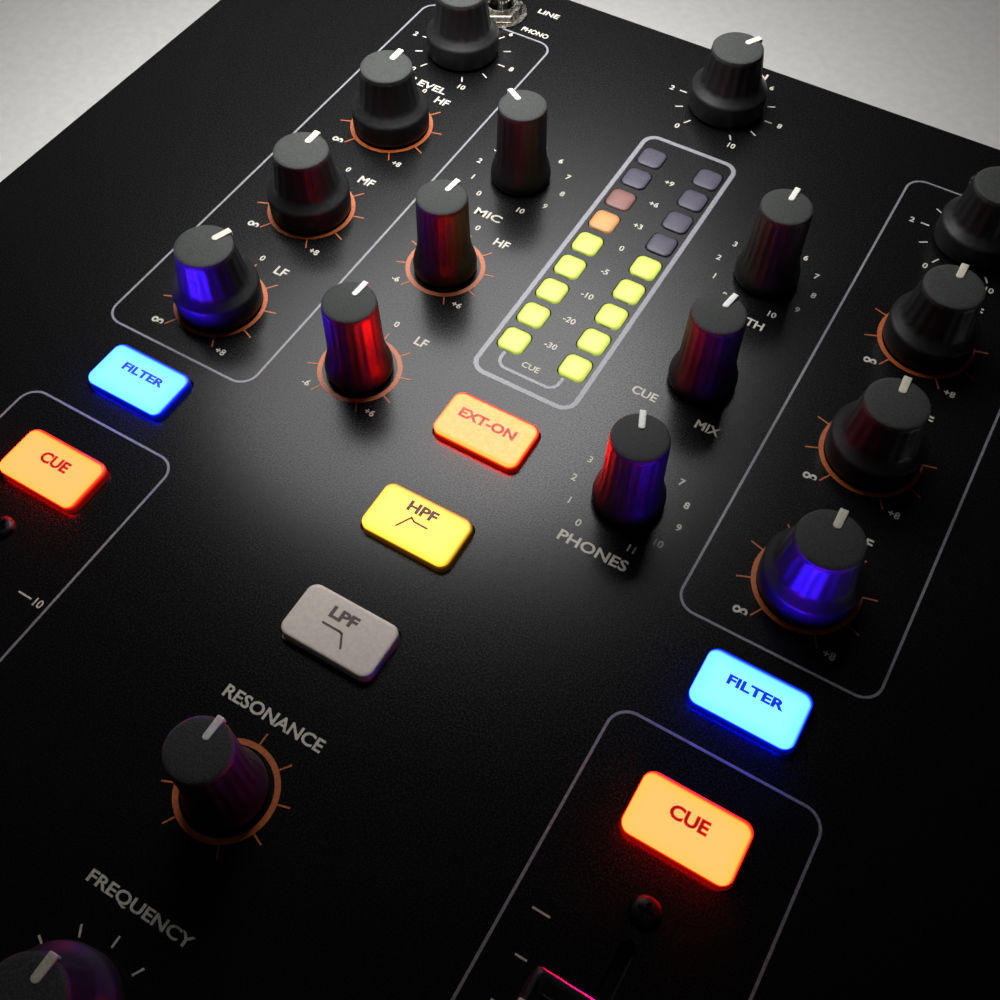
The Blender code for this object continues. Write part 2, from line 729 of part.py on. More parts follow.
def make_mic_jack(finish):
    """Microphone socket: a square flange round a face with a jack bore and three pin holes."""
    place, turn = facing_rear(MIC_X, REAR_FACE_Y + GAP, XLR_Z)
    bm = bmesh.new()
    add_prism(bm, rounded_rectangle(26 * MM, 31 * MM, 2.5 * MM, 2), 0, 1.8 * MM)
    socket = place_object("mic_jack", bm, finish, place, turn)
    barrel = bmesh.new()
    add_prism(barrel, circle(11.2 * MM, 16), -22 * MM, 1 * MM)
    boolean(socket, barrel, "UNION")
    bores = bmesh.new()
    add_prism(bores, circle(3.3 * MM, 12), -20 * MM, 4 * MM)
    for degrees in (90, 210, 330):
        angle = math.radians(degrees)
        centre = (6.6 * MM * math.cos(angle), 6.6 * MM * math.sin(angle))
        add_prism(bores, circle(1.4 * MM, 6), -12 * MM, 4 * MM, centre)
    boolean(socket, bores, "DIFFERENCE")


def rca_columns(count):
    pitch = 14 * MM
    return [(i - (count - 1) / 2) * pitch for i in range(count)]


def make_rca_block(name, x, columns, finish):
    """Phono sockets in columns of two, on one moulded block behind the panel."""
    middle = (LOW_ROW_Z + HIGH_ROW_Z) / 2
    place, turn = facing_rear(x, REAR_PLATE_Y - GAP, middle)
    bm = bmesh.new()
    width = 14 * MM * columns - 1 * MM
    add_prism(bm, rounded_rectangle(width, 34 * MM, 1 * MM, 1), -12 * MM, 0)
    block = place_object(name, bm, finish, place, turn)
    barrels = bmesh.new()
    bores = bmesh.new()
    proud = REAR_Y + TERMINALS_PROUD - (REAR_PLATE_Y - GAP)
    for dx in rca_columns(columns):
        for dy in (LOW_ROW_Z - middle, HIGH_ROW_Z - middle):
            add_prism(barrels, circle(4.2 * MM, 10), -1 * MM, proud, (dx, dy))
            add_prism(bores, circle(1.7 * MM, 6), -6 * MM, proud + 3 * MM, (dx, dy))
    boolean(block, barrels, "UNION")
    boolean(block, bores, "DIFFERENCE")


def make_ground_post(finish):
    """Thumb screw for a turntable's earth wire, through the rear panel."""
    place, turn = facing_rear(GROUND_X, REAR_FACE_Y + GAP, GROUND_Z)
    bm = bmesh.new()
    levels = [(2.2, -6), (2.2, 2.6), (4.2, 2.7), (4.5, 3.2), (4.5, 7.6), (4.1, 8.1)]
    loft(bm, [(circle(r * MM, 12), z * MM) for r, z in levels])
    smooth(place_object("ground_post", bm, finish, place, turn))


# ---- the whole mixer ----------------------------------------------------------------------


def main():
    clear_scene()
    panel_paint = material("black powder coat", (0.02, 0.02, 0.021), 0.5)
    tray_paint = material("black painted steel", (0.03, 0.03, 0.03), 0.45)
    black_plastic = material("black plastic", (0.012, 0.012, 0.013), 0.35)
    rubber = material("black rubber", (0.02, 0.02, 0.02), 0.8)
    board_green = material("solder mask", (0.01, 0.09, 0.04), 0.4)
    zinc = material("zinc plated steel", (0.6, 0.61, 0.62), 0.35, 1.0)
    nickel = material("nickel plated brass", (0.7, 0.67, 0.6), 0.25, 1.0)
    guide_clear = material("meter light guide", (0.62, 0.75, 0.12), 0.3)
    lamp_colours = {
        "button_ext_on": (1.0, 0.45, 0.08),
        "button_hpf": (1.0, 0.85, 0.05),
        "button_lpf": (0.5, 0.45, 0.4),
        "button_left_filter": (0.1, 0.6, 1.0),
        "button_right_filter": (0.1, 0.6, 1.0),
        "button_left_cue": (1.0, 0.25, 0.05),
        "button_right_cue": (1.0, 0.25, 0.05),
    }
    lamps = {name: material(f"{name} lens", lamp, 0.3) for name, lamp in lamp_colours.items()}

    make_top_cover(panel_paint)
    make_base_tray(tray_paint)
    make_rear_panel(tray_paint)
    make_front_panel(tray_paint)
    make_feet(rubber)
    make_control_board(board_green)
    make_meter_parts(guide_clear, board_green)
    make_lower_boards(board_green)
    for name, (x, y, travel, _, turned) in FADERS.items():
        make_fader_track(f"{name}_track", x, y, travel, turned, zinc)
    make_knobs(black_plastic)
    make_buttons(lamps)
    make_fader_caps(black_plastic)
    make_toggles(nickel)
    make_inlet(black_plastic)
    make_power_switch(black_plastic, black_plastic)
    make_main_out("main_out_right", MAIN_OUT_X[0], zinc)
    make_main_out("main_out_left", MAIN_OUT_X[1], zinc)
    make_mic_jack(zinc)
    rear_y, front_y = REAR_FACE_Y + GAP, FRONT_PLATE_Y - GAP
    for name, z in (("booth_jack_left", HIGH_ROW_Z), ("booth_jack_right", LOW_ROW_Z)):
        make_jack(name, BOOTH_X, z, 6 * MM, 3.3 * MM, nickel, facing_rear, rear_y)
    sizes = (("phones_jack_large", 6, 3.3), ("phones_jack_small", 4, 1.85))
    for x, (name, thread, hole) in zip(PHONES_X, sizes):
        place = (x, PHONES_Z, thread * MM, hole * MM, nickel, facing_front, front_y)
        make_jack(name, *place)
    make_rca_block("rca_rec_out", REC_X, 1, nickel)
    make_rca_block("rca_deck_right", DECK_X[0], 2, nickel)
    make_rca_block("rca_deck_left", DECK_X[1], 2, nickel)
    make_ground_post(nickel)


main()
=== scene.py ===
# %% [markdown]
# # A compact DJ mixer, finished in cells
# The solids of this mixer come from the CAD model, and they arrive as a fixed frame. Every cell
# below dresses one part of it: paint, print, knobs, lit buttons, sockets. Nothing from the frame
# is moved; each new piece is built at the place where the frame says its solid stands.

# %% Load the frame
import json
import math

import bmesh
import bpy
from mathutils import Euler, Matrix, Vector


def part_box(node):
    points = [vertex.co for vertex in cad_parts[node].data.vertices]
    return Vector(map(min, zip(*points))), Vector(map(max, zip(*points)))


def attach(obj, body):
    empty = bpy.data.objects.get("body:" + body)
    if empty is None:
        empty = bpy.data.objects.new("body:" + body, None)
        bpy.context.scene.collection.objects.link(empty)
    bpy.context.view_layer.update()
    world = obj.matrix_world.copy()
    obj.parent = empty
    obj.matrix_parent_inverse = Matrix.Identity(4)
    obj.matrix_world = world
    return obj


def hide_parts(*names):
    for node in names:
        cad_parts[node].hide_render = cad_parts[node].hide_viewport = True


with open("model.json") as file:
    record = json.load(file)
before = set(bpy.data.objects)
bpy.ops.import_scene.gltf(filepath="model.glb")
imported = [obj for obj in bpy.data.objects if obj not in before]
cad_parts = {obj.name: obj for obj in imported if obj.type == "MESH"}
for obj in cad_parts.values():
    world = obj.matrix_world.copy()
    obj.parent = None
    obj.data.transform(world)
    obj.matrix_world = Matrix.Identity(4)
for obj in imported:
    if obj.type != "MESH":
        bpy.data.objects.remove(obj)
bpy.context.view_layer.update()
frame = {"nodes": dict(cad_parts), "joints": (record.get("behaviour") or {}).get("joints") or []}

MM = 0.001

# %% [markdown]
# ## The camera
# A long lens from far away would flatten the knobs. This view is a close one: the lens hangs
# 14 cm over the panel, so near knobs lean apart and far ones crowd together. The camera is
# placed by the point it looks at, off the right rear corner of the middle button, by how far
# away it is, and by its turn and height, which are easier to judge than a bare position.

# %% Places that several cells share, in mm
PANEL, BUTTON_TOP = 70.0, 71.6
REAR_FACE, FRONT_FACE = 131.7, -140.7
CHANNEL_X = 56
RIGHT_OUT_X, LEFT_OUT_X, MIC_X, BOOTH_X, INLET_X = 57, 28, -17, 5, 88
PHONO_X = (-98, -84, -69, -55, -37)
WHITE_ROW, RED_ROW, SOCKET_ROW = 46, 25, 36
TO_REAR, TO_FRONT, UPWARD = (-90, 0, 0), (90, 0, 0), (0, 0, 0)
print("the panel lies at", PANEL, "mm and the channels stand at", CHANNEL_X, "mm to either side")

# %% Camera
AIM = Vector((8.35, 8.63, BUTTON_TOP))
DISTANCE, ELEVATION, TURN = 166.4, 58.31, 30.64
up, round_z = math.radians(ELEVATION), math.radians(TURN)
towards = Vector((math.cos(up) * math.sin(round_z), -math.cos(up) * math.cos(round_z), math.sin(up)))

lens = bpy.data.cameras.new("close_lens")
lens.lens, lens.sensor_width = 38.25, 36
lens.shift_x, lens.shift_y = 0.0081, 0.0054
lens.clip_start, lens.clip_end = 0.01, 20
camera = bpy.data.objects.new("close_camera", lens)
bpy.context.scene.collection.objects.link(camera)
camera.location = (AIM + towards * DISTANCE) * MM
camera.rotation_euler = Euler((math.pi / 2 - up, 0, round_z))
bpy.context.scene.camera = camera
bpy.context.scene.view_settings.view_transform = "Standard"
print("camera at, mm:", [round(value / MM, 1) for value in camera.location])

# %% [markdown]
# ## A few hand tools
# Modelling by operator is the same work as by hand: press, pull, inset, bevel. The operators act
# on whatever is selected, so the first tools only select. `pick` chooses vertices, edges or faces
# by where they are and which way they point, and so it stands in for the mouse.

# %% Selecting


def nothing_selected():
    if bpy.context.mode != "OBJECT":
        bpy.ops.object.mode_set(mode="OBJECT")
    bpy.ops.object.select_all(action="DESELECT")


def select_only(*pieces):
    nothing_selected()
    for piece in pieces:
        piece.select_set(True)
    bpy.context.view_layer.objects.active = pieces[0]


def edit(piece):
    select_only(piece)
    bpy.ops.object.mode_set(mode="EDIT")
    bpy.ops.mesh.select_all(action="SELECT")


def pick(kind, test):
    """In edit mode, select the VERTs, EDGEs or FACEs whose middle (mm) and direction pass."""
    bpy.ops.mesh.select_mode(type=kind)
    bpy.ops.mesh.select_all(action="DESELECT")
    mesh = bmesh.from_edit_mesh(bpy.context.object.data)
    for item in {"VERT": mesh.verts, "EDGE": mesh.edges, "FACE": mesh.faces}[kind]:
        if kind == "FACE":
            middle, way = item.calc_center_median(), item.normal
        elif kind == "EDGE":
            middle = (item.verts[0].co + item.verts[1].co) / 2
            way = (item.verts[1].co - item.verts[0].co).normalized()
        else:
            middle, way = item.co, item.normal
        if test(middle / MM, way):
            item.select_set(True)
    mesh.select_flush_mode()
    bmesh.update_edit_mesh(bpy.context.object.data)


print("selecting tools ready")

# %% [markdown]
# ## Starting shapes
# Two starts serve most of this mixer. A block with round corners is a cube whose upright edges
# are bevelled. A turned piece, as from a lathe, is a filled circle that is extruded upwards and
# scaled, ring after ring, to the radii of its profile. Both end with their place in the mesh.

# %% Blocks and turned pieces


def named(name):
    made = bpy.context.object
    made.name = made.data.name = name
    return made


def block(name, size, centre, corner=0.0, segments=6):
    """A cube of that size in mm, its upright edges rounded to corner."""
    nothing_selected()
    bpy.ops.mesh.primitive_cube_add(size=1, location=Vector(centre) * MM)
    made = named(name)
    made.scale = Vector(size) * MM
    bpy.ops.object.transform_apply(location=True, rotation=True, scale=True)
    if corner:
        edit(made)
        pick("EDGE", lambda middle, way: abs(way.z) > 0.9)
        bpy.ops.mesh.bevel(offset=corner * MM, segments=segments, affect="EDGES")
        bpy.ops.object.mode_set(mode="OBJECT")
    return made


def turned(name, profile, sides=48, centre=(0, 0, 0)):
    """A closed lathe shape through (radius, height) pairs in mm, about an upright axis."""
    nothing_selected()
    x, y, base = (value * MM for value in centre)
    radius, height = profile[0]
    place = (x, y, base + height * MM)
    bpy.ops.mesh.primitive_circle_add(
        vertices=sides, radius=radius * MM, fill_type="NGON", location=place
    )
    made = named(name)
    edit(made)
    for next_radius, next_height in profile[1:]:
        lift = (next_height - height) * MM
        bpy.ops.mesh.extrude_region_move(TRANSFORM_OT_translate={"value": (0, 0, lift)})
        grow = next_radius / radius
        middle = (x, y, base + next_height * MM)
        bpy.ops.transform.resize(value=(grow, grow, 1), center_override=middle)
        radius, height = next_radius, next_height
    bpy.ops.mesh.select_all(action="SELECT")
    bpy.ops.mesh.normals_make_consistent(inside=False)
    bpy.ops.object.mode_set(mode="OBJECT")
    bpy.ops.object.transform_apply(location=True, rotation=True, scale=True)
    return made


def stacked(name, size, corner, profile, segments=8):
    """A closed shape through rounded rectangles: profile has (inset from size, height) in mm.

    An inset may be a pair, for x and y."""
    nothing_selected()
    bpy.ops.mesh.primitive_plane_add(size=1, location=(0, 0, profile[0][1] * MM))
    made = named(name)
    made.scale = (size[0] * MM, size[1] * MM, 1)
    bpy.ops.object.transform_apply(location=True, rotation=True, scale=True)
    edit(made)
    bpy.ops.mesh.bevel(offset=corner * MM, segments=segments, affect="VERTICES")
    bpy.ops.mesh.select_all(action="SELECT")
    inset, height = (0, 0), profile[0][1]
    for step, (next_inset, next_height) in enumerate(profile):
        both = next_inset if isinstance(next_inset, tuple) else (next_inset, next_inset)
        if step:
            lift = (next_height - height) * MM
            bpy.ops.mesh.extrude_region_move(TRANSFORM_OT_translate={"value": (0, 0, lift)})
        grow = [(side - 2 * new) / (side - 2 * old) for side, old, new in zip(size, inset, both)]
        middle = (0, 0, next_height * MM)
        bpy.ops.transform.resize(value=(*grow, 1), center_override=middle)
        inset, height = both, next_height
    bpy.ops.mesh.select_all(action="SELECT")
    bpy.ops.mesh.normals_make_consistent(inside=False)
    bpy.ops.object.mode_set(mode="OBJECT")
    return made


def soften(piece, radius, segments=3, angle=40):
    """A small round on every edge sharper than angle, applied at once."""
    select_only(piece)
    bevel = piece.modifiers.new("soft_edges", "BEVEL")
    bevel.width, bevel.segments = radius * MM, segments
    bevel.limit_method, bevel.angle_limit = "ANGLE", math.radians(angle)
    bpy.ops.object.modifier_apply(modifier=bevel.name)


def smooth(piece, angle=35):
    select_only(piece)
    bpy.ops.object.shade_smooth_by_angle(angle=math.radians(angle))


print("starting shapes ready")

# %% [markdown]
# ## Placing, copying and joining
# What repeats is made once at the origin and copied. A copy gets its own mesh, is moved and
# turned, and the move is then applied, so that its object stays at the origin as every finished
# piece does.

# %% Copies


def place(piece, spot, turn=(0, 0, 0)):
    """Move a piece made at the origin to a spot in mm, turned by degrees about x, y and z."""
    select_only(piece)
    piece.location = Vector(spot) * MM
    piece.rotation_euler = Euler([math.radians(angle) for angle in turn])
    bpy.ops.object.transform_apply(location=True, rotation=True, scale=True)
    return piece


def copy_to(piece, name, spot, turn=(0, 0, 0)):
    select_only(piece)
    bpy.ops.object.duplicate(linked=False)
    return place(named(name), spot, turn)


def join(pieces, name):
    select_only(*pieces)
    bpy.ops.object.join()
    return named(name)


def discard(*pieces):
    for piece in pieces:
        bpy.data.objects.remove(piece, do_unlink=True)


def centre_of(node):
    """Middle of a CAD node's box, in mm."""
    low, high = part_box(node)
    return (low + high) / 2 / MM


def pivot_of(node):
    """Where the joint that moves a CAD node stands, in mm."""
    joint = next(j for j in frame["joints"] if j["child"] == node)
    return Vector([value / MM for value in joint["pos_m"]])


print("middle button stands at", [round(value, 1) for value in centre_of("button_hpf")])

# %% [markdown]
# ## Materials: how they are built
# A finish is a shader with a few nodes that vary it: grain, speckle, worn gloss. One function
# makes the start, one adds any node with its settings and links, and one turns the hex colours
# that a paint maker would quote into the linear numbers that light is worked out in. Two more
# give a piece its finish and fix it to the case.

# %% Material tools


def linear(hex_colour):
    channels = [int(hex_colour[i : i + 2], 16) / 255 for i in (1, 3, 5)]
    flat = [c / 12.92 if c <= 0.04045 else ((c + 0.055) / 1.055) ** 2.4 for c in channels]
    return (*flat, 1.0)


def finish_named(name, colour, roughness, metallic=0.0, **sockets):
    made = bpy.data.materials.new(name)
    made.use_nodes = True
    shader = made.node_tree.nodes["Principled BSDF"]
    shader.inputs["Base Color"].default_value = linear(colour)
    shader.inputs["Roughness"].default_value = roughness
    shader.inputs["Metallic"].default_value = metallic
    for socket, value in sockets.items():
        shader.inputs[socket.replace("_", " ")].default_value = value
    return made, shader


def add_node(material, kind, settings=None, links=None):
    """One node; settings are its own values, links are its sockets' values or sources."""
    made = material.node_tree.nodes.new(kind)
    for key, value in (settings or {}).items():
        setattr(made, key, value)
    for socket, value in (links or {}).items():
        if isinstance(value, bpy.types.NodeSocket):
            material.node_tree.links.new(value, made.inputs[socket])
        else:
            made.inputs[socket].default_value = value
    return made


def link(material, source, target):
    material.node_tree.links.new(source, target)


def per_mm(size):
    """Noise scale whose blobs are about size mm across, for Object coordinates in metres."""
    return 1 / (size * MM)


def grain(material, shader, size, depth, strength=1.0, detail=2.0):
    """Bump of blobs size mm across and depth mm high, from Object coordinates."""
    where = add_node(material, "ShaderNodeTexCoord")
    noise = add_node(
        material,
        "ShaderNodeTexNoise",
        links={"Vector": where.outputs["Object"], "Scale": per_mm(size), "Detail": detail},
    )
    bump = add_node(
        material,
        "ShaderNodeBump",
        links={"Height": noise.outputs["Fac"], "Distance": depth * MM, "Strength": strength},
    )
    link(material, bump.outputs["Normal"], shader.inputs["Normal"])
    return noise


def vary(material, shader, socket, noise, low, high, ends=(0.35, 0.65)):
    """Let the noise move a socket between two values: hex colours, or numbers."""
    if isinstance(low, str):
        ramp = add_node(material, "ShaderNodeValToRGB", links={"Fac": noise.outputs["Fac"]})
        for element, position, colour in zip(ramp.color_ramp.elements, ends, (low, high)):
            element.position, element.color = position, linear(colour)
        link(material, ramp.outputs["Color"], shader.inputs[socket])
    else:
        spread = add_node(
            material,
            "ShaderNodeMapRange",
            links={
                "Value": noise.outputs["Fac"],
                "From Min": ends[0],
                "From Max": ends[1],
                "To Min": low,
                "To Max": high,
            },
        )
        link(material, spread.outputs["Result"], shader.inputs[socket])


print("material tools ready")

# %% Finishing a piece


def coat(piece, material):
    """Give a piece one finish, in place of any that it has."""
    piece.data.materials.clear()
    piece.data.materials.append(material)


def on_case(piece, name, material):
    """Name a piece that stays still, coat it and fix it to the case."""
    piece.name = piece.data.name = name
    coat(piece, material)
    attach(piece, "case")


print("finishing tools ready")

# %% [markdown]
# ## Paint, plastic and rubber
# - The lid is steel under a fine textured powder coat. The powder melts into little hills about
#   0.3 mm across, which spread a highlight into a grey, grainy sheen.
# - The tray and end plates are the same steel in a smoother semi-gloss black.
# - Knob bodies are satin moulded ABS; their caps are matte soft-touch discs, finely pebbled.
# - Print is screen-printed epoxy ink: nearly flat, with a slightly uneven gloss.

# %% Panel, tray and knob plastics
powder_coat, shader = finish_named(
    "powder_coat_textured_black", "#0C0C0D", 0.3, Specular_IOR_Level=0.2
)
noise = grain(powder_coat, shader, 0.28, 0.012, 0.5, 2)
vary(powder_coat, shader, "Base Color", noise, "#090909", "#121213")
vary(powder_coat, shader, "Roughness", noise, 0.2, 0.31)

tray_paint, shader = finish_named("spray_enamel_semi_gloss_black", "#141415", 0.38)
noise = grain(tray_paint, shader, 0.8, 0.012, 0.5)
vary(tray_paint, shader, "Base Color", noise, "#101011", "#1C1C1D")
vary(tray_paint, shader, "Roughness", noise, 0.32, 0.46)

knob_satin, shader = finish_named("abs_moulded_satin_black", "#19191A", 0.5)
noise = grain(knob_satin, shader, 0.5, 0.004, 0.5)
vary(knob_satin, shader, "Roughness", noise, 0.44, 0.56)
vary(knob_satin, shader, "Base Color", noise, "#151516", "#1D1D1F")

knob_cap_matte, shader = finish_named("soft_touch_paint_dark_grey", "#343734", 0.78)
noise = grain(knob_cap_matte, shader, 0.26, 0.08, 1.0)
vary(knob_cap_matte, shader, "Base Color", noise, "#1E201E", "#3E413E")
vary(knob_cap_matte, shader, "Roughness", noise, 0.7, 0.85)

foot_rubber, shader = finish_named("moulded_rubber_black", "#151515", 0.85)
noise = grain(foot_rubber, shader, 0.6, 0.05, 0.6)
vary(foot_rubber, shader, "Base Color", noise, "#101010", "#1E1D1C")

black_plastic, shader = finish_named("nylon_moulded_black", "#111112", 0.42)
noise = grain(black_plastic, shader, 0.35, 0.02, 0.5)
vary(black_plastic, shader, "Base Color", noise, "#0D0D0E", "#191919")
vary(black_plastic, shader, "Roughness", noise, 0.36, 0.52)
print("plastics:", len(bpy.data.materials))

# %% Inks


def even_finish(name, low, high, roughness):
    """Ink or plain plastic, whose colour and gloss wander only a little."""
    made, shader = finish_named(name, low, roughness)
    noise = grain(made, shader, 0.5, 0.004, 0.4)
    vary(made, shader, "Base Color", noise, low, high)
    vary(made, shader, "Roughness", noise, roughness - 0.06, roughness + 0.08)
    return made


grey_ink = even_finish("epoxy_ink_light_grey", "#75727A", "#8A878E", 0.4)
cream_ink = even_finish("epoxy_ink_cream", "#B5AFA2", "#CFC8BA", 0.5)
orange_ink = even_finish("epoxy_ink_orange", "#A04A14", "#C05E1C", 0.5)
pointer_white = even_finish("pad_print_white", "#E4E2DC", "#F6F4EE", 0.4)
pointer_cream = even_finish("pad_print_cream", "#CFC9B4", "#E2DCC8", 0.45)
print("inks ready")

# %% [markdown]
# ## Lit lenses
# A lit button is a milky polycarbonate cap with a lamp under it. The light is strongest over the
# lamp, and the colour is deepest in the walls, where it has travelled through more plastic;
# further down the walls the glow is dimmed towards black, which is painted shade. So the glow is
# drawn by a ramp over one number, `rim`, stored on the mesh: 0 in the middle, 1 at the outline and
# more down the wall. The lamp's own channel is set brighter than white, which burns the face pale
# but leaves pure colour in every reflection, as a camera sees it.

# %% Lens materials
LENS_ROUGHNESS = 0.32


def glow(name, plastic, stops):
    """A lens whose emission follows the rim attribute: (rim, (red, green, blue) light)."""
    made, shader = finish_named(name, plastic, LENS_ROUGHNESS, Specular_IOR_Level=0.2)
    rim = add_node(made, "ShaderNodeAttribute", {"attribute_name": "rim"})
    reach = stops[-1][0]
    divide = {"operation": "DIVIDE"}
    along = add_node(made, "ShaderNodeMath", divide, {0: rim.outputs["Fac"], 1: reach})
    ramp = add_node(made, "ShaderNodeValToRGB", links={"Fac": along.outputs[0]})
    steps = ramp.color_ramp.elements
    steps.remove(steps[1])
    steps[0].position, steps[0].color = 0.0, (*stops[0][1], 1)
    for position, light in stops[1:]:
        steps.new(position / reach).color = (*light, 1)
    link(made, ramp.outputs["Color"], shader.inputs["Emission Color"])
    shader.inputs["Emission Strength"].default_value = 1.0
    noise = grain(made, shader, 0.6, 0.004, 0.3)
    vary(made, shader, "Roughness", noise, LENS_ROUGHNESS - 0.06, LENS_ROUGHNESS + 0.08)
    return made


milky, shader = finish_named("polycarbonate_unlit_milky", "#DCCEC2", 0.4)
noise = grain(milky, shader, 0.6, 0.004, 0.3)
vary(milky, shader, "Base Color", noise, "#D6C8BC", "#E0D2C6")
# Stops past 1 lie on the walls: their dimmer, near-black light is painted shade down the walls.
LENSES = {
    "blue": glow("polycarbonate_lit_blue", "#1C2A34", [
        (0.0, (0.33, 1.3, 190.0)),
        (0.85, (0.25, 1.0, 190.0)),
        (0.96, (0.1, 0.5, 60.0)),
        (1.03, (0.01, 0.05, 3.0)),
        (1.15, (0.0, 0.006, 0.8)),
        (1.5, (0.0, 0.002, 0.1)),
    ]),
    "red": glow("polycarbonate_lit_red", "#33201C", [
        (0.0, (130.0, 0.6, 0.16)),
        (0.6, (130.0, 0.6, 0.14)),
        (0.88, (130.0, 0.6, 0.08)),
        (0.98, (60.0, 0.2, 0.03)),
        (1.06, (2.0, 0.03, 0.008)),
        (1.2, (0.6, 0.006, 0.003)),
        (1.5, (0.1, 0.002, 0.001)),
    ]),
    "orange": glow("polycarbonate_lit_orange", "#33261C", [
        (0.0, (130.0, 0.6, 0.15)),
        (0.6, (130.0, 0.62, 0.13)),
        (0.88, (130.0, 0.62, 0.09)),
        (0.98, (60.0, 0.25, 0.04)),
        (1.06, (2.0, 0.04, 0.01)),
        (1.2, (0.5, 0.008, 0.003)),
        (1.5, (0.1, 0.002, 0.001)),
    ]),
    "yellow": glow("polycarbonate_lit_yellow", "#33301C", [
        (0.0, (4.0, 1.4, 0.16)),
        (0.7, (4.0, 1.3, 0.11)),
        (0.9, (2.5, 0.8, 0.04)),
        (1.0, (0.7, 0.36, 0.02)),
        (1.12, (0.12, 0.06, 0.006)),
        (1.5, (0.02, 0.006, 0.001)),
    ]),
    "unlit": milky,
    "meter_lit": glow("acrylic_window_lit_green", "#6A7040", [
        (0.0, (0.92, 1.05, 0.2)),
        (0.6, (0.85, 0.95, 0.14)),
        (1.0, (0.5, 0.6, 0.08)),
        (1.4, (0.12, 0.16, 0.02)),
    ]),
    "meter_amber": glow("acrylic_window_lit_amber", "#705A40", [
        (0.0, (0.95, 0.42, 0.1)),
        (0.7, (0.7, 0.3, 0.08)),
        (1.4, (0.15, 0.05, 0.02)),
    ]),
    "meter_faint": glow("acrylic_window_faint_pink", "#5A4440", [
        (0.0, (0.3, 0.12, 0.09)),
        (0.7, (0.2, 0.08, 0.07)),
        (1.4, (0.03, 0.01, 0.01)),
    ]),
    "meter_dark": glow(
        "acrylic_window_smoked",
        "#4A4652",
        [(0.0, (0.02, 0.018, 0.03)), (1.4, (0.0, 0.0, 0.0))],
    ),
}
print("lenses:", ", ".join(LENSES))

# %% [markdown]
# ## Metal, board and gold
# Sockets are nickel-plated brass, shells and tracks are zinc-plated steel, contacts are gold
# flashed. Metals get their colour in the base colour and keep the default index of refraction;
# the gloss of plating is never quite even, so their roughness wanders.

# %% Metals and boards


def metal(name, low, high, roughness):
    made, shader = finish_named(name, low, roughness, 1.0)
    where = add_node(made, "ShaderNodeTexCoord")
    links = {"Vector": where.outputs["Object"], "Scale": per_mm(1.2), "Detail": 2.0}
    noise = add_node(made, "ShaderNodeTexNoise", links=links)
    vary(made, shader, "Base Color", noise, low, high)
    vary(made, shader, "Roughness", noise, roughness - 0.03, roughness + 0.06)
    return made


nickel = metal("nickel_plate_on_brass", "#B4AEA2", "#CBC6BC", 0.24)
zinc = metal("zinc_plate_on_steel", "#9DA0A2", "#B9BCBE", 0.36)
chrome = metal("chrome_plate", "#C9CACB", "#DCDDDE", 0.12)
gold = metal("gold_flash_on_bronze", "#C79A4A", "#DDB868", 0.25)
black_zinc = metal("black_zinc_on_steel", "#1B1B1C", "#2A2A2B", 0.38)
phono_white = even_finish("abs_moulded_white", "#D8D6D0", "#E6E4DE", 0.35)
phono_red = even_finish("abs_moulded_red", "#A31518", "#B8201F", 0.35)
board_green, shader = finish_named("solder_mask_green", "#0E3A22", 0.35)
noise = grain(board_green, shader, 1.5, 0.02, 0.4)
vary(board_green, shader, "Base Color", noise, "#0B2F1B", "#15482B")
guide_acrylic, shader = finish_named("acrylic_light_guide_milky", "#8E9478", 0.3)
noise = grain(guide_acrylic, shader, 1.0, 0.01, 0.4)
vary(guide_acrylic, shader, "Base Color", noise, "#868C70", "#9AA084")
print("metals ready")

# %% [markdown]
# ## Frame nodes that stay
# The folded lid, the tray, the plates, tracks, boards and feet already have their true shapes.
# They keep their solids and only receive a finish in their material slots.

# %% Finishes for the frame's own nodes


def give(node, material):
    coat(frame["nodes"][node], material)


give("top_cover", powder_coat)
for node in ("base_tray", "front_panel", "rear_panel"):
    give(node, tray_paint)
for node in frame["nodes"]:
    if node.startswith("foot_"):
        give(node, foot_rubber)
    elif node.endswith("_board"):
        give(node, board_green)
    elif node.endswith("_track"):
        give(node, zinc)
    elif node.startswith("meter_light_guide"):
        give(node, guide_acrylic)
    elif node.startswith(("rca_", "booth_jack", "phones_jack", "ground_post")):
        give(node, nickel)
    elif node.startswith(("main_out", "mic_jack")):
        give(node, zinc)
    elif node.startswith(("power_", "toggle_")) or node.endswith("_cap"):
        give(node, black_plastic)
print("frame nodes finished:", len(frame["nodes"]))

# %% [markdown]
# ## Knobs
# Both kinds of knob are one satin moulding with shallow finger flutes, a matte disc let into its
# top and a raised pointer bar that folds over the rim. The slim kind swells softly into its foot;
# the equaliser kind stands on a broad stepped skirt. A lathe shape gives the body. Its rings have
# six vertices to a flute, so that scaling every sixth vertex inwards, and its neighbours less,
# presses in all the flutes at once.

# %% Fluted bodies
FLUTE_STEPS = 6


def fluted(name, profile, flutes, depth, low, high):
    made = turned(name, profile, flutes * FLUTE_STEPS)
    edit(made)
    step = math.tau / (flutes * FLUTE_STEPS)
    for phase in range(FLUTE_STEPS):
        share = (1 + math.cos(math.tau * phase / FLUTE_STEPS)) / 2
        if share < 0.01:
            continue

        def on_phase(middle, way):
            at = round(math.atan2(middle.y, middle.x) / step) % FLUTE_STEPS
            return at == phase and low <= middle.z <= high

        pick("VERT", on_phase)
        radius = profile[-2][0]
        shrink = 1 - depth * share / radius
        bpy.ops.transform.resize(value=(shrink, shrink, 1), center_override=(0, 0, 0))
    bpy.ops.object.mode_set(mode="OBJECT")
    smooth(made, 50)
    coat(made, knob_satin)
    return made


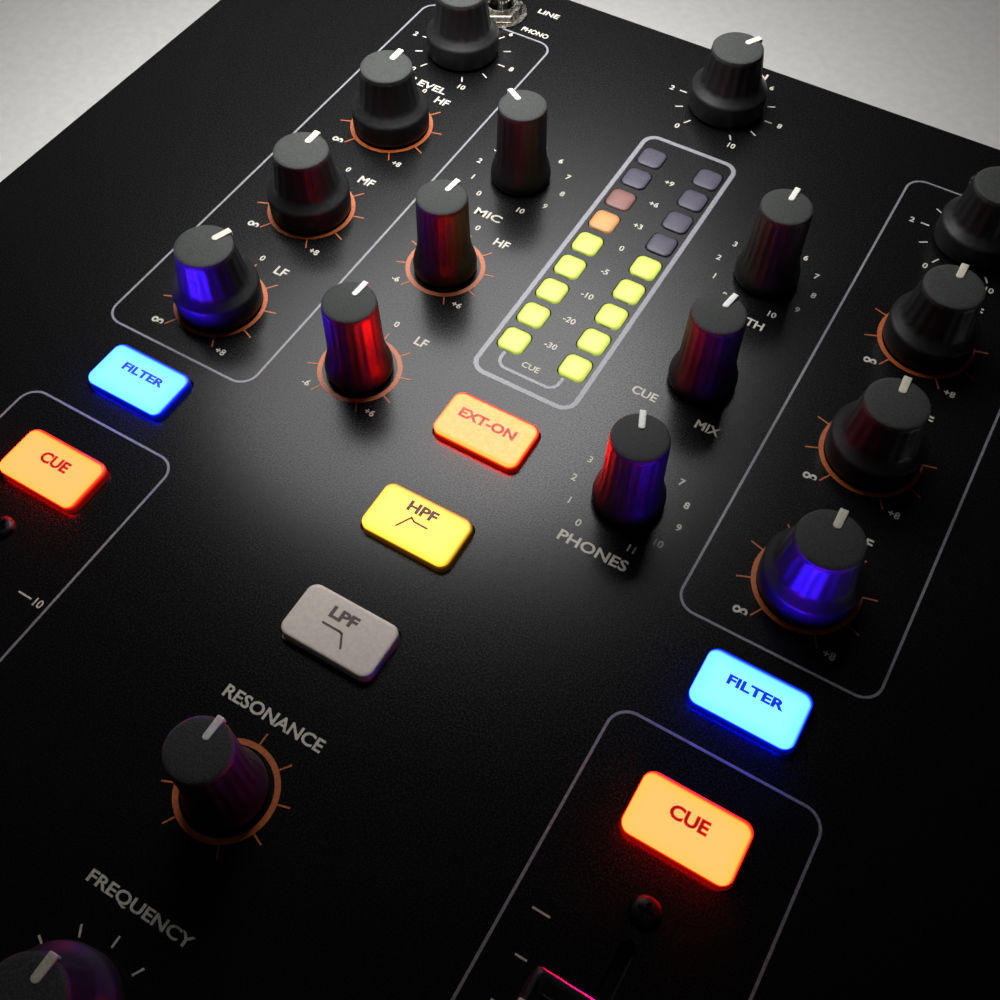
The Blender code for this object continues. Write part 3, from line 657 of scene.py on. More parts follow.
SHAFT = [(3.0, -11.5), (3.0, 0.5)]
SLIM = [(5.6, 0.5), (5.82, 0.75), (5.85, 1.6), (5.7, 2.6), (5.35, 3.7), (5.02, 4.9), (4.82, 6.2)]
SLIM += [(4.73, 8.0), (4.66, 11.0), (4.56, 15.75), (4.5, 16.1), (4.34, 16.28), (3.9, 16.3)]
BROAD = [(7.35, 0.5), (7.62, 0.75), (7.7, 1.2), (7.7, 4.6), (7.6, 4.95), (7.3, 5.2), (6.45, 6.05)]
BROAD += [(6.15, 6.4), (6.0, 6.9), (5.62, 9.6), (5.2, 12.6), (5.1, 13.0), (4.9, 13.2), (4.4, 13.22)]
slim_body = fluted("slim_body", SHAFT + SLIM, 20, 0.12, 4.5, 15.8)
broad_body = fluted("broad_body", SHAFT + BROAD, 18, 0.14, 6.6, 12.7)
print("knob bodies:", len(slim_body.data.polygons), len(broad_body.data.polygons), "faces")

# %% Caps and pointers


def cap_disc(name, radius, low, top):
    crown = [(radius, low), (radius, top - 0.42), (radius - 0.12, top - 0.28)]
    crown += [(radius * 0.86, top - 0.17), (radius * 0.6, top - 0.07), (radius * 0.2, top)]
    made = turned(name, crown, 64)
    smooth(made, 50)
    coat(made, knob_cap_matte)
    return made


def pointer_bar(name, width, start, rim, top, fold, paint):
    """A bar from start to the rim along +Y, then down over the edge by fold."""
    thick = 0.5
    length = rim - start
    made = block(name, (width, length, thick), (0, start + length / 2, top - thick / 2))
    edit(made)
    pick("EDGE", lambda middle, way: abs(way.z) > 0.9 and middle.y < start + 0.01)
    bpy.ops.mesh.bevel(offset=width * 0.46 * MM, segments=5, affect="EDGES")
    pick("FACE", lambda middle, way: way.y > 0.9)
    bpy.ops.mesh.extrude_region_move(TRANSFORM_OT_translate={"value": (0, 0.3 * MM, 0)})
    pick("FACE", lambda middle, way: way.z < -0.9 and middle.y > rim)
    bpy.ops.mesh.extrude_region_move(TRANSFORM_OT_translate={"value": (0, 0, -fold * MM)})
    bpy.ops.object.mode_set(mode="OBJECT")
    soften(made, 0.15, 3, 60)
    smooth(made, 50)
    coat(made, paint)
    return made


slim_cap = cap_disc("slim_cap", 4.42, 16.0, 16.95)
broad_cap = cap_disc("broad_cap", 5.02, 13.0, 13.95)
slim_pointer = pointer_bar("slim_pointer", 1.05, 1.25, 4.5, 17.12, 0.7, pointer_white)
broad_pointer = pointer_bar("broad_pointer", 1.3, 1.8, 5.15, 14.1, 0.6, pointer_cream)

# %% Set the knobs on the panel
# A knob's joint runs 150 degrees each way from straight ahead, so the middle of its range tells
# where the pointer rests.
resting = {}
for joint in frame["joints"]:
    if joint["child"].startswith("knob_"):
        low, high = joint.get("range_deg") or [math.degrees(v) for v in joint["range_rad"]]
        resting[joint["child"]] = (low + high) / 2
BROAD_KNOBS = ("_hf", "_mf", "_lf", "main_level", "left_level", "right_level", "frequency")
axis_of = {}
for knob, middle in resting.items():
    spot = pivot_of(knob)
    spot.z = PANEL
    axis_of[knob] = spot
    broad = knob.endswith(BROAD_KNOBS) and not knob.startswith("knob_mic")
    parts = (broad_body, broad_cap, broad_pointer) if broad else (slim_body, slim_cap, slim_pointer)
    for part, what in zip(parts, ("body", "cap", "pointer")):
        piece = copy_to(part, f"{knob}_{what}", spot, (0, 0, middle))
        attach(piece, knob)
        if what == "body":
            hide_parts(knob)
discard(slim_body, broad_body, slim_cap, broad_cap, slim_pointer, broad_pointer)
print("knobs set:", len(axis_of))

# %% [markdown]
# ## Push buttons
# Each button is one milky moulding: a lit face that stands 1.6 mm out of the panel, a flange that
# keeps it from falling out, and a stem down to its switch. The face is inset several times, so
# that the `rim` number has vertices to sit on where the glow changes fastest.

# %% One button cap
BUTTON_WIDE, BUTTON_LONG, BUTTON_CORNER = 16.0, 9.4, 1.7


def rim_number(x, y, below, wide, long, corner, fade):
    """1 at the outline of a rounded rectangle, 0 from fade mm inside it, more down its wall, where the
    lens ramps turn it into painted shade.
    """
    over_x = abs(x) - (wide / 2 - corner)
    over_y = abs(y) - (long / 2 - corner)
    outside = math.hypot(max(over_x, 0), max(over_y, 0))
    inside = corner - outside - min(max(over_x, over_y), 0)
    return max(0, 1 - inside / fade) + max(0, below) * 0.5


def store_rim(piece, top, size, fade, lamp=(0, 0)):
    """Store the rim number; lamp moves its middle by that many mm, so the walls on that side glow
    brighter: painted light.
    """
    values = []
    for vertex in piece.data.vertices:
        x, y, z = vertex.co / MM
        # Below the face the number rises, so the glow dims down the wall: painted shade.
        rim = rim_number(x - lamp[0], y - lamp[1], top - z - 0.2, *size, fade)
        values.append(min(1.5, rim))
    rim = piece.data.attributes.new("rim", "FLOAT", "POINT")
    rim.data.foreach_set("value", values)


STEM = [(2.5, -8.6), (2.5, -3.6), (-0.7, -3.6), (-0.7, -1.8), (0, -1.8), (0, 0.2), (0, 0.6)]
ROUND_EDGE = [(0, 0.9), (0, 1.22), (0.04, 1.42), (0.16, 1.55), (0.34, 1.6)]
FLAT_FACE = [(inset, 1.6) for inset in (0.6, 0.9, 1.2, 1.6, 2.1, 2.8, 3.8)]
button = stacked(
    "button", (BUTTON_WIDE, BUTTON_LONG), BUTTON_CORNER, STEM + ROUND_EDGE + FLAT_FACE
)
smooth(button, 40)
# The glow's middle is moved 0.2 mm left and 0.45 mm forward: the front and left walls glow brighter as
# painted light.
store_rim(button, 1.6, (BUTTON_WIDE, BUTTON_LONG, BUTTON_CORNER), 2.4, (-0.2, -0.45))
print("button cap:", len(button.data.polygons), "faces")

# %% [markdown]
# ## Lettering
# Legends are real raised ink, four hundredths of a millimetre thick. Text starts as Blender text,
# is given that thickness, turned into a mesh, and scaled to its height and, where one is given,
# its width. Each legend then lies on the panel or rides on its button.

# %% Text as ink
INK = 0.04


def lettering(words, height, spot, width=None, bold=0.0, turn=(0, 0, 0)):
    """Words as a mesh, height mm tall and centred on spot, with its own thickness of ink."""
    nothing_selected()
    bpy.ops.object.text_add()
    made = bpy.context.object
    made.data.body = words
    made.data.extrude = 0.5
    made.data.offset = bold
    made.data.resolution_u = 3
    select_only(made)
    bpy.ops.object.convert(target="MESH")
    made = bpy.context.object
    low = Vector([min(v.co[i] for v in made.data.vertices) for i in range(3)])
    high = Vector([max(v.co[i] for v in made.data.vertices) for i in range(3)])
    tall = height / (high.y - low.y)
    wide = width / (high.x - low.x) if width else tall
    made.scale = (wide * MM, tall * MM, INK * MM)
    middle = (low + high) / 2
    made.location = (-middle.x * wide * MM, -middle.y * tall * MM, INK * MM / 2)
    bpy.ops.object.transform_apply(location=True, rotation=True, scale=True)
    return place(made, spot, turn)


def stroke(points, width, spot):
    """A line of ink through points in mm, as one flat ribbon of short blocks."""
    parts = []
    for (x0, y0), (x1, y1) in zip(points, points[1:]):
        length = math.hypot(x1 - x0, y1 - y0) + width * 0.7
        part = block("stroke", (length, width, INK), (0, 0, INK / 2), width * 0.45, 3)
        middle = (spot[0] + (x0 + x1) / 2, spot[1] + (y0 + y1) / 2, spot[2])
        parts.append(place(part, middle, (0, 0, math.degrees(math.atan2(y1 - y0, x1 - x0)))))
    return parts


print("ink is", INK, "mm thick")

# %% Button legends


def legend_ink(name, colour, light):
    """Dark translucent ink over a lit lens: a little of the lamp's colour comes through."""
    made, shader = finish_named(name, colour, 0.5)
    noise = grain(made, shader, 0.5, 0.004, 0.4)
    vary(made, shader, "Roughness", noise, 0.44, 0.58)
    shader.inputs["Emission Color"].default_value = (*light, 1)
    shader.inputs["Emission Strength"].default_value = 1.0
    return made


LEGENDS = {
    "blue": legend_ink("translucent_ink_over_blue", "#101830", (0.0, 0.02, 0.5)),
    "red": legend_ink("translucent_ink_over_red", "#2A0A06", (0.22, 0.004, 0.001)),
    "orange": legend_ink("translucent_ink_over_orange", "#38100A", (0.3, 0.035, 0.012)),
    "yellow": legend_ink("translucent_ink_over_yellow", "#2A1204", (0.03, 0.006, 0.0)),
    "unlit": legend_ink("translucent_ink_unlit", "#4A3A34", (0.0, 0.0, 0.0)),
}
# button: lens, words, letter height and width, and their middle's x and y from the cap's, in mm
BUTTONS = {
    "button_ext_on": ("orange", "EXT-ON", 1.95, 10.5, -0.3, 0.85),
    "button_hpf": ("yellow", "HPF", 1.95, 5.2, -0.3, 2.15),
    "button_lpf": ("unlit", "LPF", 1.95, 4.6, -0.4, 1.9),
    "button_left_filter": ("blue", "FILTER", 1.6, 8.6, 0.3, 0.9),
    "button_right_filter": ("blue", "FILTER", 1.6, 8.6, 0.3, 0.9),
    "button_left_cue": ("red", "CUE", 2.1, 5.6, -0.2, 0.9),
    "button_right_cue": ("red", "CUE", 2.1, 5.6, -0.2, 0.9),
}
CURVES = {
    "button_hpf": [(-2.6, -2.1), (-1.25, 0.35), (-0.5, -0.1), (1.9, -0.15)],
    "button_lpf": [(-2.75, -0.3), (0.2, -0.3), (0.75, -0.45), (1.9, -2.5)],
}
for node, (lamp, words, height, width, dx, dy) in BUTTONS.items():
    low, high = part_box(node)
    spot = Vector(((low.x + high.x) / 2 / MM, (low.y + high.y) / 2 / MM, PANEL))
    cap = copy_to(button, f"{node}_cap", spot)
    coat(cap, LENSES[lamp])
    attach(cap, node)
    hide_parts(node)
    on_face = spot + Vector((0, 0, BUTTON_TOP - PANEL))
    marks = [lettering(words, height, on_face + Vector((dx, dy, 0)), width, 0.042)]
    if node in CURVES:
        marks += stroke(CURVES[node], 0.34, on_face)
    legend = join(marks, f"{node}_legend")
    coat(legend, LEGENDS[lamp])
    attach(legend, node)
discard(button)
print("buttons set:", len(BUTTONS))

# %% [markdown]
# ## Faders
# A fader's cap is a moulded block, waisted for the fingers, with a dished top that has two fine
# ribs on either side of a white line. The line is its own moulding, let in from end to end. The
# cap sits on a flat zinc-plated lever, which runs between two lips of felt under the slot.

# %% Fader caps on their levers
GRIP = [(0, 2.5), (0, 4.0), ((0.25, 0.5), 5.6), ((0.5, 0.8), 8.0), ((0.5, 0.8), 10.4)]
GRIP += [((0.5, 0.55), 12.2), ((0.6, 0.3), 13.3), ((0.9, 0.55), 13.7), ((1.4, 1.1), 13.8)]
GRIP += [((1.75, 1.6), 13.55), ((2.0, 2.7), 12.95), ((2.4, 3.6), 12.8)]
INLAY = [((-0.03, 0), 4.2), ((0.47, 0), 8.0), ((0.47, 0), 10.4), ((0.57, 0), 13.3)]
INLAY += [((0.87, 0), 13.73), ((1.38, 0), 13.84), ((1.73, 0), 13.6), ((2.0, 0), 13.1)]
grip = stacked("grip", (18, 9.6), 1.0, GRIP, 5)
smooth(grip, 40)
ribs = []
for y in (-1.9, -1.2, 1.2, 1.9):
    ribs.append(block("rib", (12.6, 0.3, 0.6), (0, y, 12.95 + abs(y) * 0.13)))
    soften(ribs[-1], 0.08, 2)
grip = join([grip] + ribs, "grip")
coat(grip, black_plastic)
inlay = stacked("inlay", (18, 0.9), 0.05, INLAY, 2)
coat(inlay, pointer_white)
lever = block("lever", (1.2, 4.0, 8.9), (0, 0, -1.95))
soften(lever, 0.15, 2)
coat(lever, zinc)
for fader, turn in (("left_fader", 0), ("right_fader", 0), ("crossfader", 90)):
    spot = centre_of(f"{fader}_cap")
    spot.z = PANEL
    for part, what in ((grip, "grip"), (inlay, "line"), (lever, "lever")):
        piece = copy_to(part, f"{fader}_{what}", spot, (0, 0, turn))
        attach(piece, f"{fader}_cap")
        if what == "grip":
            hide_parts(f"{fader}_cap")
discard(grip, inlay, lever)
print("faders set: 3")

# %% Felt lips under the slots
felt_black, shader = finish_named("wool_felt_black", "#0D0D0D", 0.95)
noise = grain(felt_black, shader, 0.25, 0.05, 0.8)
vary(felt_black, shader, "Base Color", noise, "#080808", "#161616")
SLOTS = {
    "left_fader": (-CHANNEL_X, -70, 0, 68),
    "right_fader": (CHANNEL_X, -70, 0, 68),
    "crossfader": (0, -125, 90, 53),
}
for fader, (x, y, turn, length) in SLOTS.items():
    lips = [block("lip", (1.6, length, 0.16), (side * 1.6, 0, 0)) for side in (-1, 1)]
    piece = place(join(lips, "lips"), (x, y, 68.36), (0, 0, turn))
    on_case(piece, f"{fader}_felt", felt_black)
print("felt lips:", 2 * len(SLOTS))

# %% [markdown]
# ## Toggle switches
# Each selector is a chromed bat lever on a ball. Its bushing stands through the panel,
# held by a hexagon nut over a thin washer.

# %% Bat levers
BAT = [(0.9, -5.5), (1.0, -2.6), (1.6, -1.6), (2.1, -0.6), (2.2, 0), (2.1, 0.7), (1.5, 1.6)]
BAT += [(1.3, 2.2), (1.3, 6.0), (1.45, 8.5), (1.85, 12.0), (2.15, 14.4), (2.2, 15.1)]
BAT += [(2.05, 15.7), (1.6, 16.1), (0.8, 16.2)]
bat = turned("bat", BAT, 40)
smooth(bat, 50)
coat(bat, chrome)
for side in ("left", "right"):
    pivot = pivot_of(f"toggle_{side}_input")
    piece = copy_to(bat, f"toggle_{side}_bat", pivot, (-12, 0, 0))
    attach(piece, f"toggle_{side}_input")
    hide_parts(f"toggle_{side}_input")
discard(bat)
print("toggles set: 2, pivot z", round(pivot.z, 2), "mm")

# %% [markdown]
# ## Level meter
# Eighteen small acrylic windows stand in two columns. Each is a softly domed block; five are lit
# on each side, and on the left the sixth glows amber and the seventh faintly. The strip under them, which
# carries the light up from the lamps, is the frame's own node.

# %% Meter windows
METER_X, METER_FIRST, METER_PITCH, METER_ROWS = 6.04, 40.7, 6.81, 9
WINDOW = (4.9, 5.1, 1.3)
DOME = [(0, -0.3), (0, 0.12), (0.06, 0.21), (0.2, 0.27), (0.6, 0.31), (1.1, 0.34), (1.8, 0.36)]
window = stacked("window", WINDOW[:2], WINDOW[2], DOME, 6)
smooth(window, 40)
store_rim(window, 0.3, WINDOW, 2.2)
LEFT = ["meter_lit"] * 5 + ["meter_amber", "meter_faint", "meter_dark", "meter_dark"]
RIGHT = ["meter_lit"] * 5 + ["meter_dark"] * 4
for side, sign, lamps in (("left", -1, LEFT), ("right", 1, RIGHT)):
    for row, lamp in enumerate(lamps):
        spot = (sign * METER_X, METER_FIRST + row * METER_PITCH, PANEL)
        piece = copy_to(window, f"meter_window_{side}_{row + 1}", spot)
        on_case(piece, piece.name, LENSES[lamp])
discard(window)
print("meter windows:", 2 * METER_ROWS)

# %% [markdown]
# ## Printed lines
# Frames round the channel strips and the meter are closed ribbons: a flat plane with rounded
# corners, inset by the width of the line, its middle deleted and the rest raised by the ink's
# thickness. Dials are rings with tick marks, made once and copied to each knob.

# %% Frames, rings and ticks


def raise_ink(thick=INK):
    """In edit mode: give the flat shape its thickness and point its faces outwards."""
    bpy.ops.mesh.select_all(action="SELECT")
    bpy.ops.mesh.extrude_region_move(TRANSFORM_OT_translate={"value": (0, 0, thick * MM)})
    bpy.ops.mesh.select_all(action="SELECT")
    bpy.ops.mesh.normals_make_consistent(inside=False)
    bpy.ops.object.mode_set(mode="OBJECT")


def printed_frame(left, right, low, high, line, corner):
    nothing_selected()
    middle = Vector(((left + right) / 2, (low + high) / 2, PANEL)) * MM
    bpy.ops.mesh.primitive_plane_add(size=1, location=middle)
    made = named("frame")
    made.scale = ((right - left) * MM, (high - low) * MM, 1)
    bpy.ops.object.transform_apply(location=True, rotation=True, scale=True)
    edit(made)
    bpy.ops.mesh.bevel(offset=corner * MM, segments=10, affect="VERTICES")
    bpy.ops.mesh.select_mode(type="FACE")
    bpy.ops.mesh.select_all(action="SELECT")
    bpy.ops.mesh.inset(thickness=line * MM)
    bpy.ops.mesh.delete(type="FACE")
    raise_ink()
    return made


def ring(outer, inner, thick=INK, sides=72):
    nothing_selected()
    bpy.ops.mesh.primitive_circle_add(vertices=sides, radius=outer * MM, fill_type="NGON")
    made = named("ring")
    edit(made)
    bpy.ops.mesh.select_mode(type="FACE")
    bpy.ops.mesh.select_all(action="SELECT")
    bpy.ops.mesh.inset(thickness=(outer - inner) * MM)
    bpy.ops.mesh.delete(type="FACE")
    raise_ink(thick)
    return made


def printed_line(width, length, spot, turn=0.0):
    made = block("line", (width, length, INK), (0, 0, INK / 2))
    return place(made, spot, (0, 0, turn))


def ticks(count, inner, outer, width):
    """count marks spread evenly over a dial's sweep, centred on straight ahead."""
    made = []
    for i in range(count):
        turn = SWEEP / 2 - SWEEP * i / (count - 1)
        angle = math.radians(90 + turn)
        reach = (inner + outer) / 2
        spot = (reach * math.cos(angle), reach * math.sin(angle), 0)
        made.append(printed_line(width, outer - inner, spot, turn))
    return made


def printed(pieces, name, material):
    made = join(pieces, name) if len(pieces) > 1 else pieces[0]
    on_case(made, name, material)


SWEEP = 300
STRIP = (39.9, 71.85)
STRIP_LINE, STRIP_CORNER = 0.42, 3.4
frames = []
for sign in (-1, 1):
    left, right = sorted((sign * STRIP[0], sign * STRIP[1]))
    for low, high in ((8.3, 116.5), (-110.0, -9.7)):
        frames.append(printed_frame(left, right, low, high, STRIP_LINE, STRIP_CORNER))
printed(frames, "printed_channel_frames", grey_ink)
meter_top = METER_FIRST + METER_PITCH * (METER_ROWS - 1) + 6.6
printed([printed_frame(-10.15, 10.15, 31.4, meter_top, 0.9, 3.0)], "printed_meter_frame", grey_ink)
bracket = printed_frame(-6.5, 5.6, 34.2, 44.0, 0.6, 2.2)
edit(bracket)
pick("VERT", lambda middle, way: middle.y > 38)
bpy.ops.transform.resize(value=(1, 0.02, 1), center_override=(0, 37.6 * MM, PANEL * MM))
pick("FACE", lambda middle, way: middle.y > 37.2 and abs(middle.x + 0.45) < 5.2)
bpy.ops.mesh.delete(type="FACE")
pick("EDGE", lambda middle, way: middle.y > 37.2)
bpy.ops.mesh.fill_holes(sides=0)
bpy.ops.object.mode_set(mode="OBJECT")
printed([bracket], "printed_meter_bracket", grey_ink)
print("frames printed:", len(frames) + 2)

# %% Dials
broad_dial = join([ring(8.4, 7.6)] + ticks(9, 8.4, 10.6, 0.26), "broad_dial")
slim_dial = join([ring(7.35, 6.5)] + ticks(9, 7.4, 9.2, 0.26), "slim_dial")
ORANGE_BROAD = [f"knob_{side}_{band}" for side in ("left", "right") for band in ("lf", "mf", "hf")]
ORANGE_SLIM = ["knob_mic_lf", "knob_mic_hf", "knob_resonance"]
for dial, knobs in ((broad_dial, ORANGE_BROAD), (slim_dial, ORANGE_SLIM)):
    for knob in knobs:
        piece = copy_to(dial, knob.replace("knob", "printed_dial"), axis_of[knob])
        on_case(piece, piece.name, orange_ink)
discard(broad_dial, slim_dial)
plain_ticks = []
for knob in ("knob_left_level", "knob_right_level", "knob_main_level", "knob_frequency"):
    for mark in ticks(11, 8.7, 10.3, 0.3):
        plain_ticks.append(place(mark, axis_of[knob]))
printed(plain_ticks, "printed_level_ticks", cream_ink)
print("dials printed")

# %% [markdown]
# ## Panel legends
# All the words here are the plain names of functions, and the numbers are the numbers of a dial.
# Words run parallel to the panel's front edge, numbers round each dial. All of them are joined
# into one piece of cream ink.

# %% Numbers round the dials
words = []


def say(text, height, x, y, width=None, bold=0.022):
    words.append(lettering(text, height, (x, y, PANEL), width, bold))


def say_rear(text, height, x, z):
    words.append(lettering(text, height, (x, REAR_FACE, z), None, 0.02, (90, 0, 180)))


def dial_numbers(knob, numbers, radius, height):
    spot = axis_of[knob]
    for i, number in enumerate(numbers):
        angle = math.radians(90 + SWEEP / 2 - SWEEP * i / (len(numbers) - 1))
        x, y = spot.x + radius * math.cos(angle), spot.y + radius * math.sin(angle)
        say(number, height, x, y)


for knob, count in (("knob_phones", 12), ("knob_booth", 11), ("knob_mic_level", 11)):
    dial_numbers(knob, [str(i) for i in range(count)], 9.3, 1.35)
for knob in ("knob_left_level", "knob_right_level", "knob_main_level"):
    dial_numbers(knob, ["0", "2", "4", "6", "8", "10"], 12.0, 1.4)
for side, sign in (("left", -1), ("right", 1)):
    for band in ("lf", "mf", "hf"):
        spot = axis_of[f"knob_{side}_{band}"]
        say(band.upper(), 2.0, spot.x + 5.0, spot.y + 11.4)
        say("0", 1.35, spot.x, spot.y + 12.4)
        say("\u221e", 1.3, spot.x - 6.9, spot.y - 9.2, 2.3)
        say("+8", 1.35, spot.x + 7.2, spot.y - 9.2)
for band in ("lf", "hf"):
    spot = axis_of[f"knob_mic_{band}"]
    say(band.upper(), 1.9, spot.x + 6.0, spot.y + 10.3)
    say("0", 1.35, spot.x, spot.y + 11.6)
    say("-6", 1.3, spot.x - 6.2, spot.y - 7.1)
    say("+6", 1.3, spot.x + 6.7, spot.y - 6.9)
print("numbers and bands:", len(words))

# %% Words on the panel
say("PHONES", 2.0, 25.4, 10.4, 11.9)
say("CUE", 1.8, 18.8, 41.8)
say("MIX", 1.8, 31.0, 40.6)
say("BOOTH", 1.9, 25.8, 65.6, 9.0)
say("MIC", 1.9, -25.8, 65.0, 5.6)
say("RESONANCE", 2.0, -0.7, -36.5, 17.0)
say("FREQUENCY", 2.0, 0.0, -66.0, 17.0)
for sign in (-1, 1):
    say("LEVEL", 1.9, sign * CHANNEL_X, 91.6, 8.2)
    say("LINE", 1.5, sign * CHANNEL_X + 9.5, 126.0, 5.0)
    say("PHONO", 1.5, sign * CHANNEL_X + 10.2, 118.6, 6.4)
say("MAIN", 1.9, 0, 130.2, 7.6)
say("CUE", 1.25, -0.6, 36.9, 3.4)
for row, number in enumerate(("-30", "-20", "-10", "-5", "0", "+3", "+6", "+9")):
    say(number, 1.35, 0, METER_FIRST + 2.2 + row * METER_PITCH)
for sign in (-1, 1):
    for number, y in (("10", -40), ("5", -70), ("0", -100)):
        say(number, 1.4, sign * CHANNEL_X + 14.2, y)
say("A", 2.4, -30.5, -113.6)
say("B", 2.4, 30.5, -113.6)
print("with the words:", len(words))

# %% Words on the end panels
say_rear("POWER", 1.5, INLET_X, 56.6)
say_rear("AC IN", 1.5, INLET_X, 12.4)
say_rear("MAIN OUT", 1.7, (RIGHT_OUT_X + LEFT_OUT_X) / 2, 56.3)
say_rear("R", 1.5, RIGHT_OUT_X, 53.3)
say_rear("L", 1.5, LEFT_OUT_X, 53.3)
say_rear("BOOTH", 1.7, BOOTH_X, 56.3)
say_rear("MIC", 1.7, MIC_X, 54.2)
say_rear("REC", 1.7, PHONO_X[-1], 54.6)
say_rear("GND", 1.4, -46, 29.2)
for x, word in zip(PHONO_X, ("LINE", "PHONO", "LINE", "PHONO")):
    say_rear(word, 1.4, x, 54.6)
words.append(lettering("PHONES", 2.0, (-76, FRONT_FACE, 50.5), None, 0.02, TO_FRONT))
print("all legends:", len(words))
printed(words, "printed_legends", cream_ink)

# %% Fader scales
scale = []
for sign in (-1, 1):
    for side in (-1, 1):
        for i in range(11):
            long = 2.6 if i % 5 == 0 else 1.7
            spot = (sign * CHANNEL_X + side * (10.2 + long / 2), -100 + 6 * i, PANEL)
            scale.append(printed_line(long, 0.28, spot))
for i in range(11):
    long = 2.6 if i % 5 == 0 else 1.7
    scale.append(printed_line(0.28, long, (-22.5 + 4.5 * i, -114.8 + long / 2, PANEL)))
print("scale marks:", len(scale))
printed(scale, "printed_fader_scales", cream_ink)

# %% [markdown]
# ## Screws, nuts and connector trim
# What holds the mixer together is on show: pan-head screws with a cross recess, hexagon nuts
# round the toggles, coloured rings round the phono sockets, gold pins and nickel blades. Each
# is a lathe shape or a ring, copied to its places.

# %% Screw heads
screw = turned("screw", [(2.2, 0), (2.2, 0.18), (2.0, 0.5), (1.5, 0.74), (0.8, 0.8)], 32)
for turn in (0, 90):
    slot = place(block("slot", (2.2, 0.5, 1.2), (0, 0, 0.95)), (0, 0, 0), (0, 0, turn))
    select_only(screw)
    cut = screw.modifiers.new("recess", "BOOLEAN")
    cut.operation, cut.solver, cut.object = "DIFFERENCE", "EXACT", slot
    bpy.ops.object.modifier_apply(modifier=cut.name)
    discard(slot)
smooth(screw, 40)
FLANGE = 133.8
screws = []
for x in (RIGHT_OUT_X, LEFT_OUT_X, MIC_X):
    screws += [((x + s * 9.8, FLANGE, SOCKET_ROW + s * 12.3), TO_REAR) for s in (-1, 1)]
for x in (-91, -62):
    screws.append(((x, REAR_FACE, 35.5), TO_REAR))
for sign in (-1, 1):
    screws += [((sign * 105.5, REAR_FACE, z), TO_REAR) for z in (13, 54.2)]
    screws += [((sign * 104, FRONT_FACE, z), TO_FRONT) for z in (14, 52)]
    screws += [((sign * 111.2, y, 50), (0, sign * 90, 0)) for y in (-128, 119)]
    screws += [((sign * CHANNEL_X, y, PANEL), UPWARD) for y in (-106.8, -33.2)]
    screws.append(((sign * 29.5, -125, PANEL), UPWARD))
for i, (spot, turn) in enumerate(screws):
    piece = copy_to(screw, f"screw_{i + 1}", spot, turn)
    on_case(piece, piece.name, black_zinc)
discard(screw)
print("screws:", len(screws))

# %% Toggle bushings and nuts
for side, sign in (("left", -1), ("right", 1)):
    spot = (sign * CHANNEL_X, 121, PANEL)
    washer = ring(5.9, 3.35, 0.35, 48)
    nut = place(ring(4.9, 3.35, 1.5, 6), (0, 0, 0.35))
    bushing = place(ring(3.4, 2.95, 2.4, 48), (0, 0, 0.02))
    soften(nut, 0.2, 2)
    piece = place(join([washer, nut, bushing], "nut"), spot)
    on_case(piece, f"toggle_{side}_nut", nickel)
print("toggle nuts: 2")

# %% Phono rings, barrels and inserts


def soft_ring(outer, inner, thick, round_off, sides=48):
    made = ring(outer, inner, thick, sides)
    soften(made, round_off, 2)
    smooth(made, 40)
    return made


for z, colour, word in ((WHITE_ROW, phono_white, "white"), (RED_ROW, phono_red, "red")):
    for i, x in enumerate(PHONO_X):
        collar = place(soft_ring(5.8, 4.3, 1.5, 0.25), (x, REAR_FACE, z), TO_REAR)
        on_case(collar, f"phono_ring_{word}_{i + 1}", colour)
        barrel = place(soft_ring(4.32, 3.3, 10.95, 0.22), (x, REAR_FACE + 0.02, z), TO_REAR)
        on_case(barrel, f"phono_barrel_{word}_{i + 1}", nickel)
        insert = place(ring(3.3, 1.75, 0.1, 48), (x, 142.48, z), TO_REAR)
        on_case(insert, f"phono_insert_{word}_{i + 1}", colour)
print("phono sockets trimmed:", 2 * len(PHONO_X))

# %% Liners, beads and pins of the round sockets
gold_pin = turned("gold_pin", [(1.26, 0), (1.26, 12.4), (1.1, 13.0), (0.7, 13.4), (0.2, 13.5)], 24)
smooth(gold_pin, 50)
for side, x in (("right", RIGHT_OUT_X), ("left", LEFT_OUT_X)):
    bead = ring(10.8, 8.9, 0.5, 72)
    soften(bead, 0.18, 2)
    bead = place(bead, (0, 0, 15.45))
    liner = join([bead, ring(9.15, 8.9, 15.5, 72)], "liner")
    smooth(liner, 40)
    place(liner, (x, 118.35, SOCKET_ROW), TO_REAR)
    on_case(liner, f"main_out_{side}_liner", black_plastic)
    pins = []
    for degrees in (30, 150, 270):
        angle = math.radians(degrees)
        spot = (x + 4 * math.cos(angle), 116.3, SOCKET_ROW + 4 * math.sin(angle))
        pins.append(copy_to(gold_pin, "pin", spot, TO_REAR))
    on_case(join(pins, "pins"), f"main_out_{side}_pins", gold)
discard(gold_pin)
bead = ring(11.0, 9.9, 0.5, 72)
soften(bead, 0.18, 2)
place(bead, (MIC_X, 133.75, SOCKET_ROW), TO_REAR)
on_case(bead, "mic_jack_bead", black_plastic)
print("round sockets trimmed: 3")

